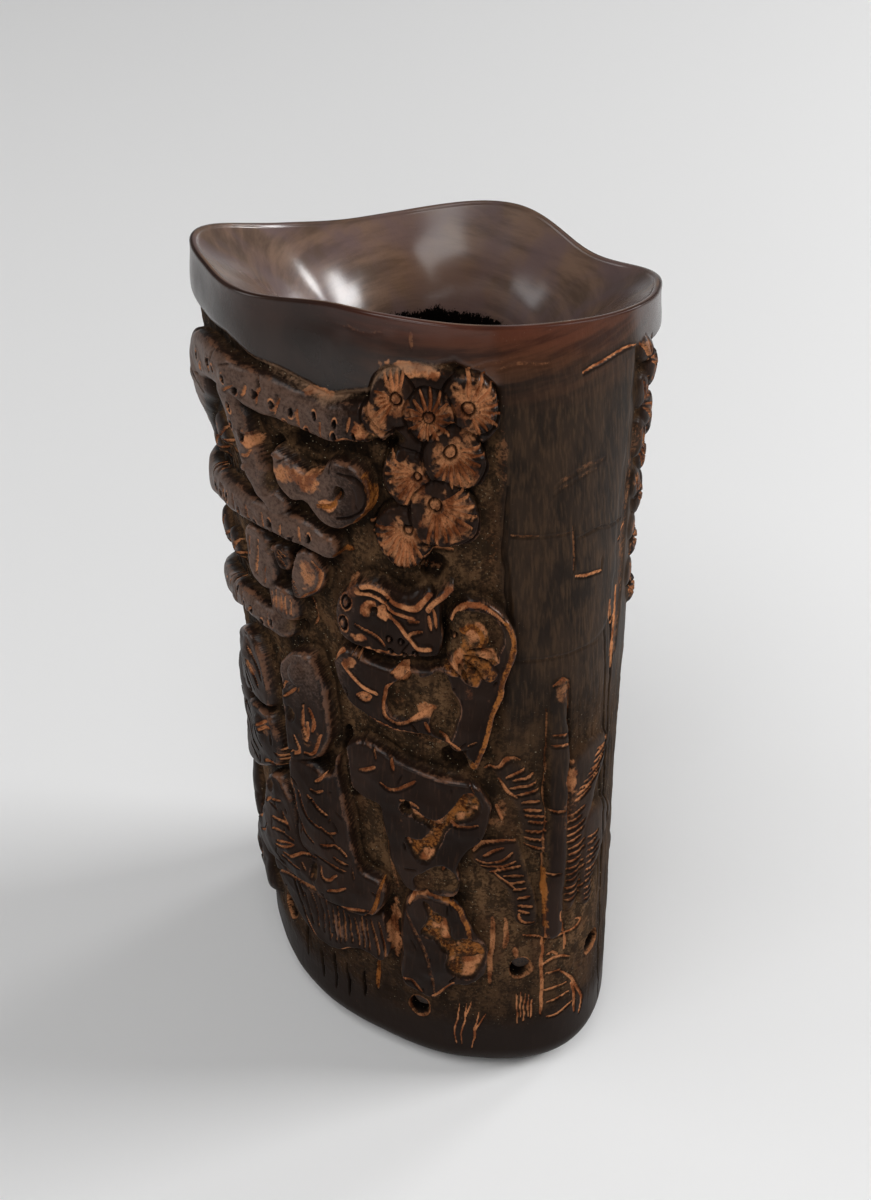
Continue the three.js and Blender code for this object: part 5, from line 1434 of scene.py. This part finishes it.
# Studio, in metres: a pale floor, a key lamp and a rim lamp behind on the right, soft lamps in front, left and above
studio = {
    "floor": (0.85, 0.85, 0.85), "world": (1.0, 0.99, 0.98), "worldStrength": 0.1,
    "lamps": [
        {"name": "keyLamp", "at": (0.9, 0.47, 0.6), "aim": (0.05, 0, 0.04), "size": (0.42, 0.36), "power": 9.6},
        {"name": "rimLamp", "at": (0.47, 0.79, 0.44), "aim": (0, 0, 0.1), "size": (0.2, 0.2), "power": 2.1},
        {"name": "frontLamp", "at": (0.2, -0.95, 0.5), "aim": (0, 0, 0.07), "size": (0.6, 0.35), "power": 1.8},
        {"name": "leftLamp", "at": (-0.92, -0.28, 0.4), "aim": (0, 0, 0.08), "size": (0.5, 0.4), "power": 1.8},
        {"name": "topLamp", "at": (-0.06, -0.42, 0.95), "aim": (0, 0, 0.1), "size": (0.7, 0.45), "power": 3.7},
    ],
}
for lamp in studio["lamps"]:
    data = bpy.data.lights.new(lamp["name"], "AREA")
    data.shape, data.energy = "RECTANGLE", lamp["power"]
    data.size, data.size_y = lamp["size"]
    light = bpy.data.objects.new(lamp["name"], data)
    light.location = lamp["at"]
    aim = Vector(lamp["aim"]) - Vector(lamp["at"])
    light.rotation_euler = aim.to_track_quat("-Z", "Y").to_euler()
    bpy.context.collection.objects.link(light)

world = bpy.data.worlds.new("studio")
world.use_nodes = True
world.node_tree.nodes["Background"].inputs["Color"].default_value = (*studio["world"], 1)
world.node_tree.nodes["Background"].inputs["Strength"].default_value = studio["worldStrength"]
bpy.context.scene.world = world

floorMesh = bpy.data.meshes.new("floor")
floorMesh.from_pydata([(-3, -3, 0), (3, -3, 0), (3, 3, 0), (-3, 3, 0)], [], [(0, 1, 2, 3)])
floor = bpy.data.objects.new("floor", floorMesh)
bpy.context.collection.objects.link(floor)
paper = Finish("pale paper")
grainy = paper.cloudy(1.5, (1, 1, 1), 2)
floorMesh.materials.append(paper.wear(Base_Color=(*studio["floor"], 1), Roughness=0.6 + grainy * 0.1))

view = {
    "lens": 60, "sensor": 36, "elevation": 40, "azimuth": 20, "distance": 298.4, "right": -0.2, "aimHeight": 75.4,
    "clipStart": 0.01,
}
azimuth, elevation = math.radians(view["azimuth"]), math.radians(view["elevation"])
level = math.cos(elevation)
back = Vector((math.sin(azimuth) * level, -math.cos(azimuth) * level, math.sin(elevation)))
target = Vector((math.cos(azimuth), math.sin(azimuth), 0)) * view["right"] + Vector((0, 0, view["aimHeight"]))
cameraData = bpy.data.cameras.new("camera")
cameraData.lens, cameraData.sensor_width, cameraData.clip_start = view["lens"], view["sensor"], view["clipStart"]
camera = bpy.data.objects.new("camera", cameraData)
camera.location = (target + back * view["distance"]) * mm
camera.rotation_euler = back.to_track_quat("Z", "Y").to_euler()
bpy.context.collection.objects.link(camera)
bpy.context.scene.camera = camera
bpy.context.scene.view_settings.view_transform = "Standard"
